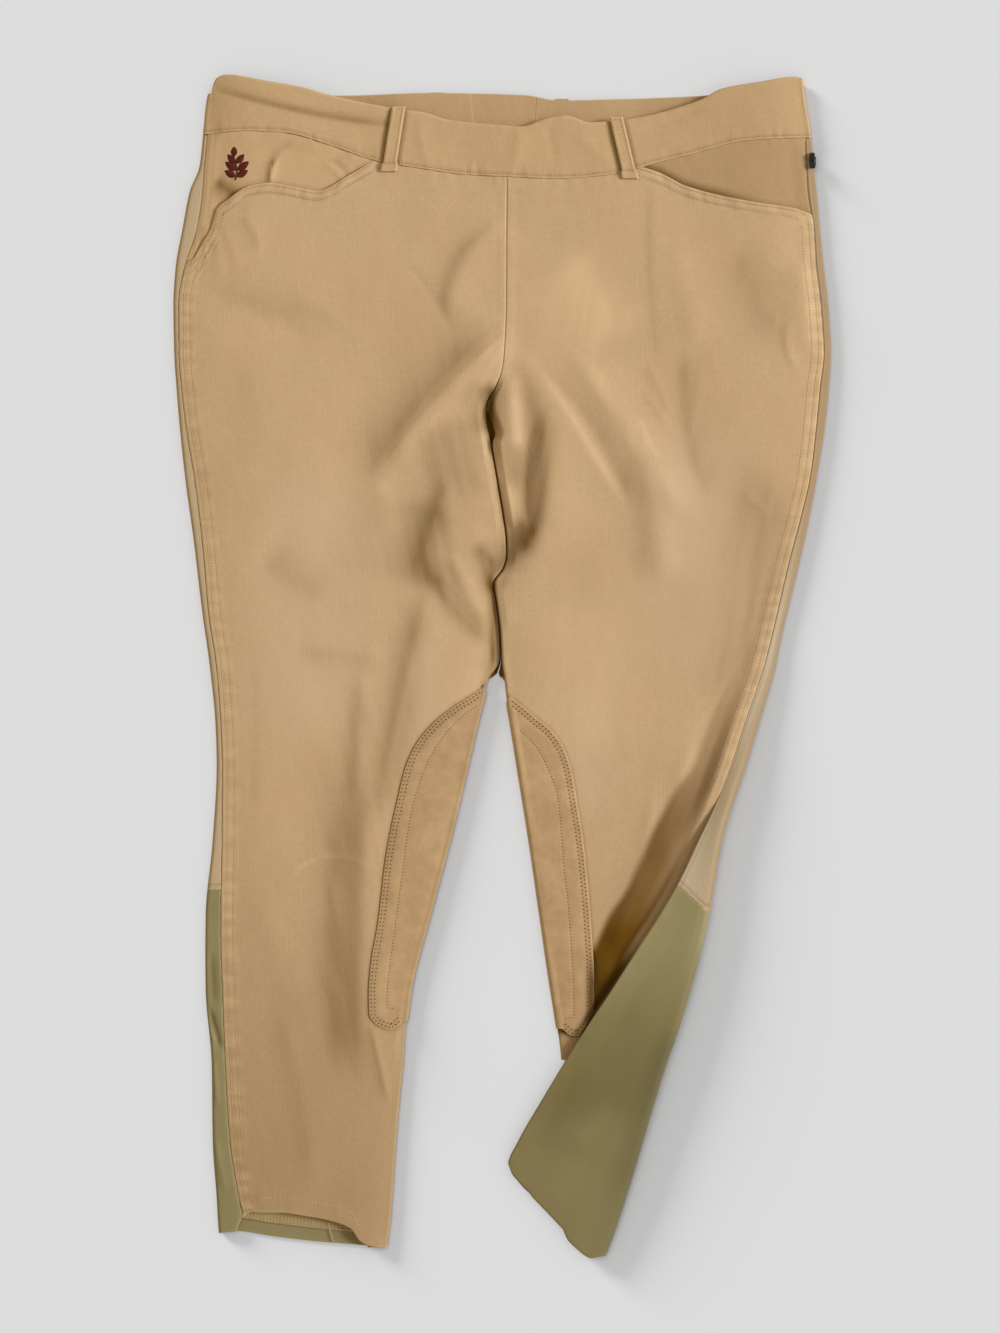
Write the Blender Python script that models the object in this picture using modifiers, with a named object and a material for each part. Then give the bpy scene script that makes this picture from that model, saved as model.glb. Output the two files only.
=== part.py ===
"""Side-zip riding breeches laid flat, front up, with the left calf turned over its shin.

Frame: +X to the wearer's left, +Y up to the waist, +Z up from the surface they lie on.
Every size below is in millimetres. "Out" is a distance from the plane x = 0 towards either side seam.

Each half of the breeches is a flat tube. Going across it, a section starts on the surface under the
tube, turns up round the outer edge, crosses the top and turns down round the inner edge. The fronts
lie on top, the backs below, and the backs wrap the outer edge as far as the side seam.
"""

import bmesh
import bpy
import numpy as np
from math import pi

MM = 0.001

WALL = 1.2  # one layer of stretch cloth
BAND_WALL = 2.0  # the waistband is two layers
PATCH_WALL = 1.0  # suede
LOOP_WALL = 1.4
SEAM = 0.3  # clear gap between two pieces

EDGE_HEIGHT = 5.2  # height of the tube where it turns round a side
EDGE_RADIUS = 2.6
SIDE_RISE = 52.0  # the top climbs from the side seam to the crown over this width
INNER_RISE = 34.0  # and from a leg's inner edge over this one
LEAST_HEIGHT = 3.2  # the top layer never sinks onto the one below
INSEAM_TUCK = 13.0  # how far a front runs on under the leg to its inseam
BAND_GAP = 0.75  # clear gap under the waistband, whose seam curves
INSEAM_GAP = 0.8  # clear gap between front and back under the leg
PATCH_LIFT = 0.55  # the suede's underside over the curved cloth
LOOP_LIFT = 2.2  # the back belt loops hold the cloth over them off the surface
LOOP_FLAT = 1.7  # a back belt loop pressed flat

SIDES = {"right": -1, "left": 1}

# Outline of each half. seam is the side seam, edge is the outermost point.
OUTER = {
    "right": [  # y, seam, edge
        (472, 228.6, 232.2),
        (450, 233.6, 237.2),
        (430, 235.6, 239.2),
        (400, 238.6, 242.6),
        (380, 240.0, 250.4),
        (350, 244.5, 256.2),
        (320, 254.0, 261.6),
        (290, 259.0, 263.5),
        (250, 258.8, 262.8),
        (225, 257.0, 261.2),
        (190, 252.9, 258.3),
        (150, 246.4, 254.0),
        (100, 240.2, 247.2),
        (40, 234.8, 240.0),
        (0, 228.9, 234.4),
        (-50, 225.1, 229.6),
        (-80, 224.1, 228.8),
        (-140, 224.3, 232.0),
        (-200, 225.3, 237.6),
        (-230, 225.1, 237.9),
        (-260, 223.9, 237.6),
        (-320, 221.7, 232.8),
        (-380, 217.9, 232.0),
        (-430, 209.9, 228.6),
        (-466, 200.0, 226.0),
    ],
    "left": [
        (472, 237.0, 240.8),
        (450, 239.6, 243.5),
        (430, 242.8, 246.9),
        (400, 244.2, 249.6),
        (380, 245.4, 252.0),
        (350, 250.0, 254.5),
        (320, 251.9, 257.6),
        (290, 255.5, 261.2),
        (250, 257.8, 263.5),
        (225, 255.0, 262.0),
        (190, 251.6, 258.3),
        (150, 246.6, 251.9),
        (120, 239.6, 246.3),
        (80, 229.1, 237.5),
        (20, 215.2, 223.1),
        (0, 209.9, 219.1),
        (-50, 192.8, 204.3),
        (-80, 183.0, 195.1),
        (-110, 171.4, 184.7),
        (-140, 157.0, 175.9),
        (-170, 142.8, 170.4),
        (-200, 125.5, 165.5),
        (-230, 106.2, 159.1),
        (-260, 87.1, 151.1),
        (-290, 67.0, 141.9),
        (-320, 49.0, 131.9),
        (-350, 28.5, 122.7),
        (-380, 11.8, 113.5),
        (-400, 4.8, 106.5),
        (-440, 46.0, 93.0),
        (-474, 82.0, 80.0),
    ],
}

# The centre line: the right half ends at x, the left half starts at x + gap.
MIDDLE = [  # y, x, gap
    (480, 3.85, 0.3),
    (392, 3.85, 0.3),
    (350, 3.55, 0.3),
    (290, 3.20, 0.3),
    (250, 1.60, 0.3),
    (236, -0.20, 0.3),
    (223, -4.8, 0.6),
    (209, -12.2, 0.8),
    (196, -12.3, 0.8),
    (184, -9.9, 0.8),
    (174, -8.2, 0.8),
    (150, -4.2, 0.8),
    (120, 0.9, 0.8),
    (100, 3.3, 0.8),
    (88, 3.6, 0.8),
    (78, 0.8, 0.8),
    (66, -6.8, 0.8),
    (50, -4.6, 0.8),
    (24, -1.7, 0.8),
    (4, -1.2, 1.0),
    (-12, -10.4, 11.6),
    (-20, -12.1, 13.8),
    (-50, -19.7, 26.2),
    (-80, -26.5, 37.8),
    (-140, -40.9, 61.8),
    (-200, -56.9, 86.5),
    (-260, -72.1, 110.5),
    (-320, -79.2, 126.9),
    (-380, -84.8, 141.0),
    (-440, -89.0, 153.0),
    (-466, -92.0, 158.0),
]

# The fly seam turns down into the crotch, and the leg's inner edge starts: 0 above, 1 below.
CROTCH_TURN = [(232, 0.0), (216, 0.45), (202, 1.0)]  # y, share of the turn
TUCK_SHARE = {
    "right": [(222, 0.0), (200, 0.13), (165, 1.0)],  # y, share of INSEAM_TUCK
    "left": [(-318, 0.13), (-240, 1.0), (165, 1.0), (200, 0.13), (222, 0.0)],
}

CROWN = {  # height of the top layer away from the edges
    "right": [
        (-466, 8.6), (-410, 8.4), (-320, 7.8), (-100, 8.2), (100, 8.8), (250, 8.8), (330, 9.0), (395, 10.6),
    ],
    "left": [(-320, 7.0), (-100, 8.0), (100, 8.8), (250, 8.8), (330, 9.0), (395, 10.6)],
}

# The left calf twists over the shin: each thread that leaves the seam at y reaches the fold at y_fold.
FOLD_ROWS = {
    "right": [(-480, -480.0), (480, 480.0)],
    "left": [  # y at the side seam, y at the outer edge
        (-400, -466.0),
        (-320, -375.0),
        (-250, -289.0),
        (-176, -196.4),
        (-110, -117.0),
        (-60, -63.0),
        (0, 0.0),
        (40, 40.0),
        (90, 90.0),
        (480, 480.0),
    ],
}
FOLD_HEIGHT = {  # y at the outer edge, height of the tube there
    "right": [(-480, EDGE_HEIGHT), (480, EDGE_HEIGHT)],
    "left": [
        (-474, 8.5), (-440, 11.0), (-375, 14.0), (-290, 15.5), (-200, 14.5), (-140, 12.5), (-80, 9.5),
        (-20, 6.5), (40, EDGE_HEIGHT), (480, EDGE_HEIGHT),
    ],
}
INNER_HEIGHT = {  # y, height of the tube where it turns round the leg's inner edge
    "right": [(-14, EDGE_HEIGHT), (2, 3.8), (54, 3.8), (70, EDGE_HEIGHT)],
    "left": [
        (-318, 3.6),
        (-285, 4.2),
        (-230, EDGE_HEIGHT),
        (174, EDGE_HEIGHT),
        (188, 4.2),
        (210, 4.2),
        (228, EDGE_HEIGHT),
    ],
}
FRONT_AT_SEAM = {  # y, height of the front where it meets or passes under the side seam
    "right": [(-480, 5.4), (480, 5.4)],
    "left": [(-330, 3.4), (-200, 3.6), (-140, 3.8), (-80, 4.2), (-20, 5.0), (30, 5.4), (480, 5.4)],
}
FLAP_STEP = {  # y, how much higher than the front the wrapped back lies at the side seam
    "right": [(-480, 0.0), (480, 0.0)],
    "left": [(-400, 1.2), (-360, 2.0), (-320, 3.6), (-120, 3.6), (-60, 3.4), (-10, 1.9), (30, 0.0)],
}
FLAP_LAP = {  # y, how far the front runs on under the flap
    "right": [(-480, -0.15), (480, -0.15)],
    "left": [(-320, 9.0), (-170, 9.0), (-110, 4.0), (-40, -0.15)],
}

BAND_SEAM = [  # x, y of the seam under the waistband
    (-239, 425.2), (-206, 427.4), (-172, 425.4), (-142, 417.2), (-98, 402.8), (-66, 397.4), (-34, 392.8),
    (4, 390.6), (46, 389.0), (92, 393.0), (122, 401.4), (147, 407.6), (196, 419.6), (248, 422.8),
]
BAND_TOP = [  # x, y of the front waistband's top edge
    (-232, 471.8), (-222, 473.2), (-190, 467.8), (-158, 462.0), (-142, 457.2), (-89, 446.0), (-61, 442.0),
    (-43, 436.4), (4, 431.6), (15, 430.8), (36, 437.4), (51, 439.6), (70, 434.2), (82, 434.8), (110, 438.4),
    (157, 451.6), (176, 461.2), (206, 466.8), (241, 471.8),
]
BACK_BAND_TOP = [
    (-232, 470.6), (-200, 465.8), (-165, 459.5), (-130, 457.2), (-55, 458.8), (18, 457.2), (46, 452.8),
    (114, 454.8), (162, 457.2), (200, 463.0), (241, 470.6),
]
BACK_BAND_SEAM = [(-239, 424.8), (-120, 417.0), (0, 413.0), (120, 417.0), (248, 422.4)]
BACK_BAND_JOINS = [(-25.6, -19.2), (28.0, 24.8)]  # x at the top edge, x at the seam

POCKET_MOUTH = {
    "right": [  # out, y
        (106, 401.0), (122, 392.4), (148, 379.6), (162, 382.0), (187, 386.0), (202, 383.6), (219, 373.2),
        (228, 366.0), (232, 352.0), (238, 341.2), (246, 327.0), (258, 319.6), (266, 316.0),
    ],
    "left": [
        (112, 396.8), (126, 394.0), (147, 383.6), (176, 375.6), (206, 370.0), (234, 366.0), (250, 360.4),
    ],
}
FACING_DROP = 1.7  # the facing lies this far under the front
FACING_TUCK = 10.0

FRONT_HEM = [  # x, y
    (-210, -444.0), (-201, -438.0), (-178, -438.0), (-158, -440.4), (-134, -445.2), (-121, -450.8),
    (-114, -460.4), (-107, -464.4), (-95, -466.8), (-90, -466.8),
]
BACK_HEM = [(-228, -455.2), (-216, -453.4), (-182, -458.0), (-147, -462.0), (-117, -464.4), (-88, -467.6)]
HEM_FACING_X = (-204.0, -100.0)
HEM_FACING_Y = (3.6, 20.0)  # above the back hem
HEM_FACING_WALL = 0.9
CALF_SEAM_Y = {"right": -179.6, "left": -175.6}
FLAP_HEM_Y = -399.0  # where the left side seam meets its hem
LAYER_GAP = 0.6  # between the folded leg's inner layers and the cloth round them
LAYER_LIP = 1.1  # thickness where they end as a single layer
LEFT_FRONT_END_Y = -316.0
FLAP_BULGE = [  # share of the flap's width from the seam, sag of its hem
    (0, 0), (0.21, 7.5), (0.45, 10.0), (0.63, 13.0), (0.9, 15.1), (1.0, 7.6),
]
FLAP_BULGE_Y = -290.0  # rows below this take some of the sag

# Largest folds. Each runs from a to b, bowed by `bow` towards +X. west and east are the widths of its
# two flanks, and height is how far it stands up, or sinks in.
FOLDS = [  # ax, ay, bx, by, bow, west, east, height
    (-2, 257, -86, 166, -9, 15, 32, 4.6),  # from the fly down across the right thigh
    (-12, 238, -29, 203, -2, 5, 8, 1.4),
    (4, 356, -38, 284, -13, 9, 30, 2.2),
    (-48, 180, -49, 68, 5, 13, 24, 4.4),
    (-55, 134, -74, 86, 3, 15, 7, -2.6),
    (-38, 88, -13, 36, 0, 6, 12, 2.6),
    (-54, 70, -93, -114, -6, 9, 20, 2.4),
    (-108, 8, -116, -300, -6, 16, 30, 2.8),
    (-200, -180, -127, -345, 6, 24, 24, 1.6),
    (30, 234, 48, 86, 16, 15, 38, 4.2),  # from the crotch down across the left thigh
    (20, 230, 7, 82, 25, 8, 9, -2.6),
    (7, 208, 10, 170, 0, 8, 8, 2.6),
    (12, 146, 14, 112, 0, 8, 8, 2.2),
    (84, 238, 152, 138, -6, 20, 34, 3.0),
    (60, 232, 112, 70, 12, 20, 14, -1.8),
    (66, 318, 136, 262, 0, 20, 20, -1.6),
    (136, 320, 204, 258, 0, 22, 22, -1.6),
]

KNEE_PATCH = {
    "right": [  # y, out of its sewn edge
        (-15.6, 13.6), (-21.2, 20.8), (-32.4, 38.4), (-46.0, 55.2), (-61.2, 68.0), (-79.6, 76.8),
        (-104.4, 83.2), (-151.6, 92.8), (-206.8, 99.6), (-237.2, 104.8), (-262.0, 106.7), (-278.0, 106.4),
        (-286.8, 100.8), (-291.6, 90.4),
    ],
    "left": [
        (-24.4, 6.0), (-30.0, 13.6), (-41.6, 27.2), (-53.2, 40.8), (-68.4, 50.4), (-86.0, 56.0),
        (-109.2, 60.0), (-138.8, 64.8), (-167.6, 68.0), (-206.0, 71.2), (-251.6, 73.6), (-275.6, 73.6),
        (-290.8, 68.8), (-297.2, 61.6),
    ],
}
PATCH_TURN = 1.8  # radians of the inner edge that the patch wraps
PATCH_TIP = 1.5  # width of its upper tip on the top of the leg

BAND_COLUMNS = 34
BAND_SIDE = [  # share of the edge radius outwards, share of the half height above the rim
    (0.42, 0.94), (0.78, 0.64), (1.0, 0.34), (1.0, 0.0),
]

BELT_LOOP_WIDTH = 11.2
BELT_LOOPS_FRONT = {"right": ((-82.4, 446.8), (-90.6, 394.6)), "left": ((91.0, 438.4), (102.6, 388.8))}
BELT_LOOP_BOW = 2.4
BELT_LOOPS_BACK = {"right": (-52.0, 459.6, 406.0), "left": (48.0, 454.6, 402.0)}  # x, top y, bottom y

ZIP_X = 248.4
ZIP_PIVOT_Y = 406.4
ZIP_SEAT = 5.75  # the slider's underside
ZIP_PIVOT_RISE = 1.9

COLOURS = {  # linear base colour, roughness, metallic
    "stretch_cloth": ((0.55, 0.37, 0.19), 0.9, 0.0),
    "back_cloth": ((0.52, 0.35, 0.18), 0.9, 0.0),
    "calf_stretch": ((0.22, 0.19, 0.09), 0.92, 0.0),
    "suede": ((0.44, 0.28, 0.13), 0.95, 0.0),
    "band_cloth": ((0.52, 0.34, 0.16), 0.9, 0.0),
    "hem_knit": ((0.45, 0.34, 0.20), 0.92, 0.0),
    "zip_metal": ((0.02, 0.02, 0.02), 0.45, 0.6),
}

# Column and row spacing of the grids.
FRONT_COLUMNS = 12  # across the top of a front, before those that go round its inner edge
ARC_STEPS = 5  # round an inner edge
EDGE_STEPS = 4  # round an outer edge
EDGE_LEAD = 3.3  # one column just before an inner edge turns
LEAST_COLUMN = 1.6  # where the edge hardly turns its columns are this far apart
FRONT_ROWS = np.r_[
    np.linspace(402, 272, 6),
    [252, 240, 231, 224, 217, 209, 199, 188, 176, 162, 144, 124, 106, 94, 84, 75, 66, 50, 24, 4, -5, -14, -28],
    np.linspace(-52, -445, 14),
]
FADE_TOP_Y = 250.0  # rows below this are level and not bent to the pocket mouth
FADE_HEM_Y = -380.0


def curve(table, column=1):
    """A smooth curve through one column of a table against its first, which never overshoots a knot."""
    knots = np.array(sorted(table), float)[:, [0, column]]
    at, value = knots.T
    slope = np.diff(value) / np.diff(at)
    tangent = np.zeros_like(value)
    tangent[0], tangent[-1] = slope[0], slope[-1]
    before, after = slope[:-1], slope[1:]
    same = before * after > 0
    tangent[1:-1][same] = 2 * before[same] * after[same] / (before + after)[same]

    def read(where):
        where = np.clip(where, at[0], at[-1])
        i = np.clip(np.searchsorted(at, where) - 1, 0, len(at) - 2)
        width = at[i + 1] - at[i]
        t = (where - at[i]) / width
        start = value[i] * (1 + 2 * t) * (1 - t) ** 2 + tangent[i] * width * t * (1 - t) ** 2
        end = value[i + 1] * t**2 * (3 - 2 * t) + tangent[i + 1] * width * t**2 * (t - 1)
        return start + end

    return read


def smooth(t):
    t = np.clip(t, 0, 1)
    return t * t * (3 - 2 * t)


def rise(distance, width):
    """0 at a tube's edge, 1 further in than width, steepest at the edge."""
    return 1 - (1 - np.clip(distance / width, 0, 1)) ** 2.4


middle_x, middle_gap = curve(MIDDLE, 1), curve(MIDDLE, 2)
crotch_turn = curve(CROTCH_TURN)
band_seam_y, band_top_y = curve(BAND_SEAM), curve(BAND_TOP)
back_band_seam_y, back_band_top_y = curve(BACK_BAND_SEAM), curve(BACK_BAND_TOP)
back_hem_y = curve(BACK_HEM)
flap_sag = curve(FLAP_BULGE)


class Half:
    """The sections of one half of the breeches, right or left."""

    def __init__(self, side):
        self.side = side
        self.sign = SIDES[side]
        self.seam = curve(OUTER[side], 1)
        self.edge = curve(OUTER[side], 2)
        self.crown = curve(CROWN[side])
        self.fold_row = curve(FOLD_ROWS[side])
        self.fold_height = curve(FOLD_HEIGHT[side])
        self.front_at_seam = curve(FRONT_AT_SEAM[side])
        self.inner_height = curve(INNER_HEIGHT[side])
        self.flap_step = curve(FLAP_STEP[side])
        self.lap = curve(FLAP_LAP[side])
        self.tuck_share = curve(TUCK_SHARE[side])
        self.mouth_y = curve(POCKET_MOUTH[side])
        self.patch_edge = curve(KNEE_PATCH[side])
        rows = [row[0] for row in KNEE_PATCH[side]]
        self.patch_top, self.patch_bottom = max(rows), min(rows)

    def inner(self, y):
        """Out of the front's inner edge, which stands back where the suede goes over it."""
        x = middle_x(y) if self.side == "right" else middle_x(y) + middle_gap(y)
        patched = smooth((self.patch_top + 30 - y) / 30) * smooth((y - self.patch_bottom + 30) / 30)
        return self.sign * x + patched * (PATCH_LIFT + PATCH_WALL)

    def turn(self, y):
        return np.clip(crotch_turn(y), 0, 1)

    def inner_radius(self, y):
        return 0.02 + EDGE_RADIUS * self.turn(y)

    def tuck(self, y):
        return INSEAM_TUCK * np.clip(self.tuck_share(y), 0, 1)

    def inner_top(self, y):
        """Out of the line where the top of the leg starts to turn down."""
        return self.inner(y) + self.inner_radius(y)

    def height(self, out, y):
        """Height of the front's outer face: up from the seam to the crown, down to a leg's inner edge."""
        at_seam = self.front_at_seam(y)
        z = at_seam + (self.crown(y) - at_seam) * rise(self.seam(y) - out, SIDE_RISE)
        inward = out - self.inner_top(y)
        z -= self.turn(y) * (z - self.inner_height(y)) * (1 - rise(inward, INNER_RISE))
        near = smooth((self.seam(y) - out) / 14) * (1 - self.turn(y) * (1 - smooth(inward / 7)))
        return np.maximum(z + near * folds(self.sign * out, y), LEAST_HEIGHT)

    def arc_length(self, y):
        half_height = self.height(self.inner_top(y), y) / 2
        return pi * (self.inner_radius(y) + half_height) / 2

    def inseam(self, y):
        """The unrolled place of the front's last thread: round the inner edge and on under the leg."""
        return self.inner_top(y) - self.arc_length(y) * self.turn(y) - self.tuck(y)

    def front_point(self, place, y):
        """(x, y, z) of an unrolled place: out on the top, then round the inner edge, then under the leg."""
        start = self.inner_top(y)
        half_height = self.height(start, y) / 2
        past = np.maximum(start - place, 0)
        angle = np.minimum(past / self.arc_length(y) * pi, pi)
        under = np.maximum(past - self.arc_length(y), 0)
        out = np.maximum(place, start) - self.inner_radius(y) * np.sin(angle) + under
        on_top = self.height(np.maximum(place, start), y)
        z = np.where(past > 0, half_height * (1 + np.cos(angle)), on_top)
        return np.stack([self.sign * out, y, z], -1)

    def fold_radius(self, y):
        return np.minimum(self.fold_height(y) / 2, 5.0)

    def seam_height(self, y):
        """Height of the wrapped back at the side seam."""
        return self.front_at_seam(y) + self.flap_step(y)

    def strip_height(self, share, y):
        """Height of the wrapped back from the seam, share 0, to the turn round the outer edge, share 1."""
        low, high = self.seam_height(y), self.fold_height(self.fold_row(y))
        return low + (high - low) * (0.35 * share + 0.65 * smooth(share))

    def back_point(self, share, y):
        """(x, y, z) of the wrapped back: share 0 to 1 on top, 1 to 2 round the edge, 2 to 3 underneath."""
        y_edge = self.fold_row(y)
        radius, half_height = self.fold_radius(y_edge), self.fold_height(y_edge) / 2
        turn_at = self.edge(y_edge) - radius
        along = np.clip(share, 0, 1)
        angle = np.clip(share - 1, 0, 1) * pi
        under = np.clip(share - 2, 0, 1)
        start = self.seam(y) + SEAM / 2
        out = start + (turn_at - start) * along + radius * np.sin(angle)
        out = out + (self.back_end(y_edge) - turn_at) * under
        row = y + (y_edge - y) * along
        z = np.where(share > 1, half_height * (1 + np.cos(angle)), self.strip_height(along, y))
        x = self.sign * out
        return np.stack([x, row, z + np.where(share >= 2, loop_lift(x, row), 0)], -1)

    def back_end(self, y):
        """Out of the back's last thread under the tube: the centre seam, then the inseam."""
        turned = self.turn(y) * (self.inner_radius(y) + INSEAM_GAP)
        end = self.inner(y) + SEAM / 2 + turned + self.tuck(y)
        if self.side == "left":
            end = end + 4 * smooth((-265 - y) / 30)
            end = np.where(y < LEFT_FRONT_END_Y, self.seam(y) + 4, end)
        return end


def folds(x, y):
    """Sum of the folds: each is a bell across its bowed line, fading out over its ends."""
    total = np.zeros(np.broadcast(x, y).shape)
    for ax, ay, bx, by, bow, west, east, height in FOLDS:
        along_x, along_y = bx - ax, by - ay
        length = np.hypot(along_x, along_y)
        t = ((x - ax) * along_x + (y - ay) * along_y) / length**2
        across = ((x - ax) * -along_y + (y - ay) * along_x) / length
        across = np.where(along_y < 0, across, -across)
        across = across - bow * 4 * t * (1 - t)
        width = np.where(across < 0, west, east)
        bell = np.exp(-((across / width) ** 2) * 2)
        ends = smooth((t + 0.12) / 0.3) * smooth((1.12 - t) / 0.3)
        total = total + height * bell * ends
    return total


def loop_lift(x, y):
    """The back lies over its belt loops: raised across the middle of the waist, level again by the hips."""
    across = smooth((118 - np.abs(x)) / 42)
    return LOOP_LIFT * across * smooth((y - 356) / 30)


def flap_bulge(share, y):
    """How far the flap's lower rows sag below straight ones."""
    return flap_sag(np.clip(share, 0, 1)) * smooth((FLAP_BULGE_Y - y) / (FLAP_BULGE_Y - FLAP_HEM_Y))


def material(name):
    made = bpy.data.materials.get(name)
    if made is None:
        colour, roughness, metallic = COLOURS[name]
        made = bpy.data.materials.new(name)
        made.use_nodes = True
        shader = made.node_tree.nodes["Principled BSDF"]
        shader.inputs["Base Color"].default_value = (*colour, 1)
        shader.inputs["Roughness"].default_value = roughness
        shader.inputs["Metallic"].default_value = metallic
    return made


def finish(name, mesh, finish_name):
    made = bpy.data.objects.new(name, mesh)
    made.data.materials.append(material(finish_name))
    made.data.shade_smooth()
    made.data.set_sharp_from_angle(angle=0.9)
    parts.objects.link(made)
    return made


def sheet(name, points, wall, finish_name, up=True):
    """A piece of cloth: a grid of points on its outer face, thickened inwards.

    up says which way its first column faces.
    """
    rows, columns = points.shape[:2]
    index = np.arange(rows * columns).reshape(rows, columns)
    quads = np.stack([index[:-1, :-1], index[1:, :-1], index[1:, 1:], index[:-1, 1:]], -1).reshape(-1, 4)
    a, b, c = (points[:-1, 0], points[1:, 0], points[1:, 1])
    faces_up = np.cross(b - a, c - a)[:, 2].sum() > 0
    if faces_up != up:
        quads = quads[:, ::-1]
    mesh = bpy.data.meshes.new(name)
    mesh.from_pydata((points.reshape(-1, 3) * MM).tolist(), [], quads.tolist())
    made = finish(name, mesh, finish_name)
    thick = made.modifiers.new("Cloth thickness", "SOLIDIFY")
    thick.thickness = wall * MM
    thick.offset = -1
    thick.use_even_offset = True
    return made


def bent_rows(levels, place_at, out_of, top_y, bottom_y):
    """Rows that follow a piece's top and bottom edges and are level between. Gives places and their y."""
    fade_top = np.clip((levels - FADE_TOP_Y) / (levels[0] - FADE_TOP_Y), 0, 1)[:, None]
    fade_hem = np.clip((FADE_HEM_Y - levels) / (FADE_HEM_Y - levels[-1]), 0, 1)[:, None]
    y = levels[:, None] + np.zeros_like(place_at(levels[:, None]))
    for _ in range(25):
        out = out_of(place_at(y), y)
        bent = (top_y(out) - levels[0]) * fade_top + (bottom_y(out) - levels[-1]) * fade_hem
        y = (y + levels[:, None] + bent) / 2
    return place_at(y), y


def front_places(half, y):
    """Unrolled places across a front: even over the top, close together round the inner edge."""
    start, end = half.seam(y) + half.lap(y), half.inseam(y)
    arc = half.arc_length(y) * half.turn(y)
    turned = np.linspace(1, 0, ARC_STEPS + 1)
    share = np.r_[np.linspace(0, 1, FRONT_COLUMNS + 1)[:-1], np.ones(ARC_STEPS + 3)]
    lead = np.r_[np.full(FRONT_COLUMNS + 1, EDGE_LEAD), np.zeros(ARC_STEPS + 2)]
    wrapped = np.r_[np.ones(FRONT_COLUMNS + 1), turned, 0]
    tucked = np.r_[np.ones(FRONT_COLUMNS + ARC_STEPS + 2), 0]
    least = np.r_[np.full(FRONT_COLUMNS, ARC_STEPS + 2), np.arange(ARC_STEPS + 2, -1, -1)] * LEAST_COLUMN
    back = np.maximum(lead + wrapped * arc + tucked * half.tuck(y), least)
    return start + (end + back - start) * share


def front(side):
    """A front: from the band seam and pocket mouth down to the hem, inseam to side seam."""
    half = halves[side]
    seam_y = curve([(x * half.sign, y) for x, y in BAND_SEAM])

    def top_y(out):
        mouth = half.mouth_y(out)
        return np.where(out > POCKET_MOUTH[side][0][0], mouth, seam_y(out) - BAND_GAP)

    levels = FRONT_ROWS
    if side == "right":
        bottom_y = curve([(-x, y) for x, y in FRONT_HEM])
    else:
        levels = np.r_[FRONT_ROWS[FRONT_ROWS > LEFT_FRONT_END_Y + 12], LEFT_FRONT_END_Y]

        def bottom_y(out):
            return np.full_like(out, LEFT_FRONT_END_Y)

    def out_of(places, rows):
        return half.sign * half.front_point(places, rows)[..., 0]

    places, y = bent_rows(levels, lambda rows: front_places(half, rows), out_of, top_y, bottom_y)
    sheet(f"front_{side}", half.front_point(places, y), WALL, "stretch_cloth")
    half.seam_rows = y[:, 0]


def back_shares(strip_steps, under_steps):
    return np.r_[
        np.linspace(0, 1, strip_steps + 1)[:-1],
        np.linspace(1, 2, EDGE_STEPS + 1)[:-1],
        np.linspace(2, 3, under_steps + 1),
    ]


def back(side):
    """A back: under the thigh, up round the outer edge, to the side seam on top, in the front's rows."""
    half = halves[side]
    shares = back_shares(1 if side == "right" else 3, 4)
    end = CALF_SEAM_Y[side] + SEAM / 2
    shared = half.seam_rows[half.seam_rows > end + 6]
    levels = np.r_[np.linspace(424, shared[0] + 16, 4), shared, end]
    fade = np.clip((levels - 320) / (levels[0] - 320), 0, 1)[:, None]
    y = levels[:, None] + 0 * shares
    x = half.back_point(shares, y)[..., 0]
    y = y + (back_band_seam_y(x) - BAND_GAP - levels[0]) * fade
    sheet(f"back_{side}", half.back_point(shares, y), WALL, "back_cloth")


def calf(side):
    """A calf panel, from its seam across the back of the knee to the hem."""
    half = halves[side]
    start = CALF_SEAM_Y[side] - SEAM / 2
    shared = half.seam_rows[half.seam_rows < start - 6]
    if side == "right":
        shares = back_shares(1, 4)
        y = np.r_[start, shared, -460][:, None] + 0 * shares
        y[-1] = back_hem_y(half.back_point(shares, y)[-1, :, 0])
        points = half.back_point(shares, y)
    else:
        shares = back_shares(7, 3)
        y = np.linspace(start, FLAP_HEM_Y, 13)[:, None] + 0 * shares
        points = half.back_point(shares, y)
        points[..., 1] -= flap_bulge(shares, y)
    sheet(f"calf_{side}", points, WALL, "calf_stretch")


def moved_out(points, distance):
    """Moves a grid off the surface it lies on, along its own normals."""
    normal = np.cross(np.gradient(points, axis=0), np.gradient(points, axis=1))
    normal /= np.linalg.norm(normal, axis=-1, keepdims=True)
    return points + normal * distance * np.sign(normal[..., 2].sum())


def knee_patch(side):
    """A suede patch over the inner knee: the front's own points, moved out."""
    half = halves[side]
    fine_top = half.patch_top - np.array([0, 5, 14, 27, 44])
    fine_bottom = half.patch_bottom + np.array([16, 6, 1])
    between = np.linspace(half.patch_top - 66, half.patch_bottom + 36, 7)
    levels = np.r_[fine_top, between, fine_bottom][:, None]
    start = half.inner_top(levels)
    outer = np.clip(half.patch_edge(levels), start + PATCH_TIP, half.seam(levels) - 0.8)
    end = start - half.arc_length(levels) * PATCH_TURN / pi
    top = outer + (start - outer) * np.linspace(0, 1, 6)
    edge = start + (end - start) * np.linspace(0, 1, 5)[1:]
    places = np.concatenate([top, edge], -1)
    on_front = half.front_point(places, levels + 0 * places)
    sheet(f"knee_patch_{side}", moved_out(on_front, PATCH_LIFT + PATCH_WALL), PATCH_WALL, "suede")


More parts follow.
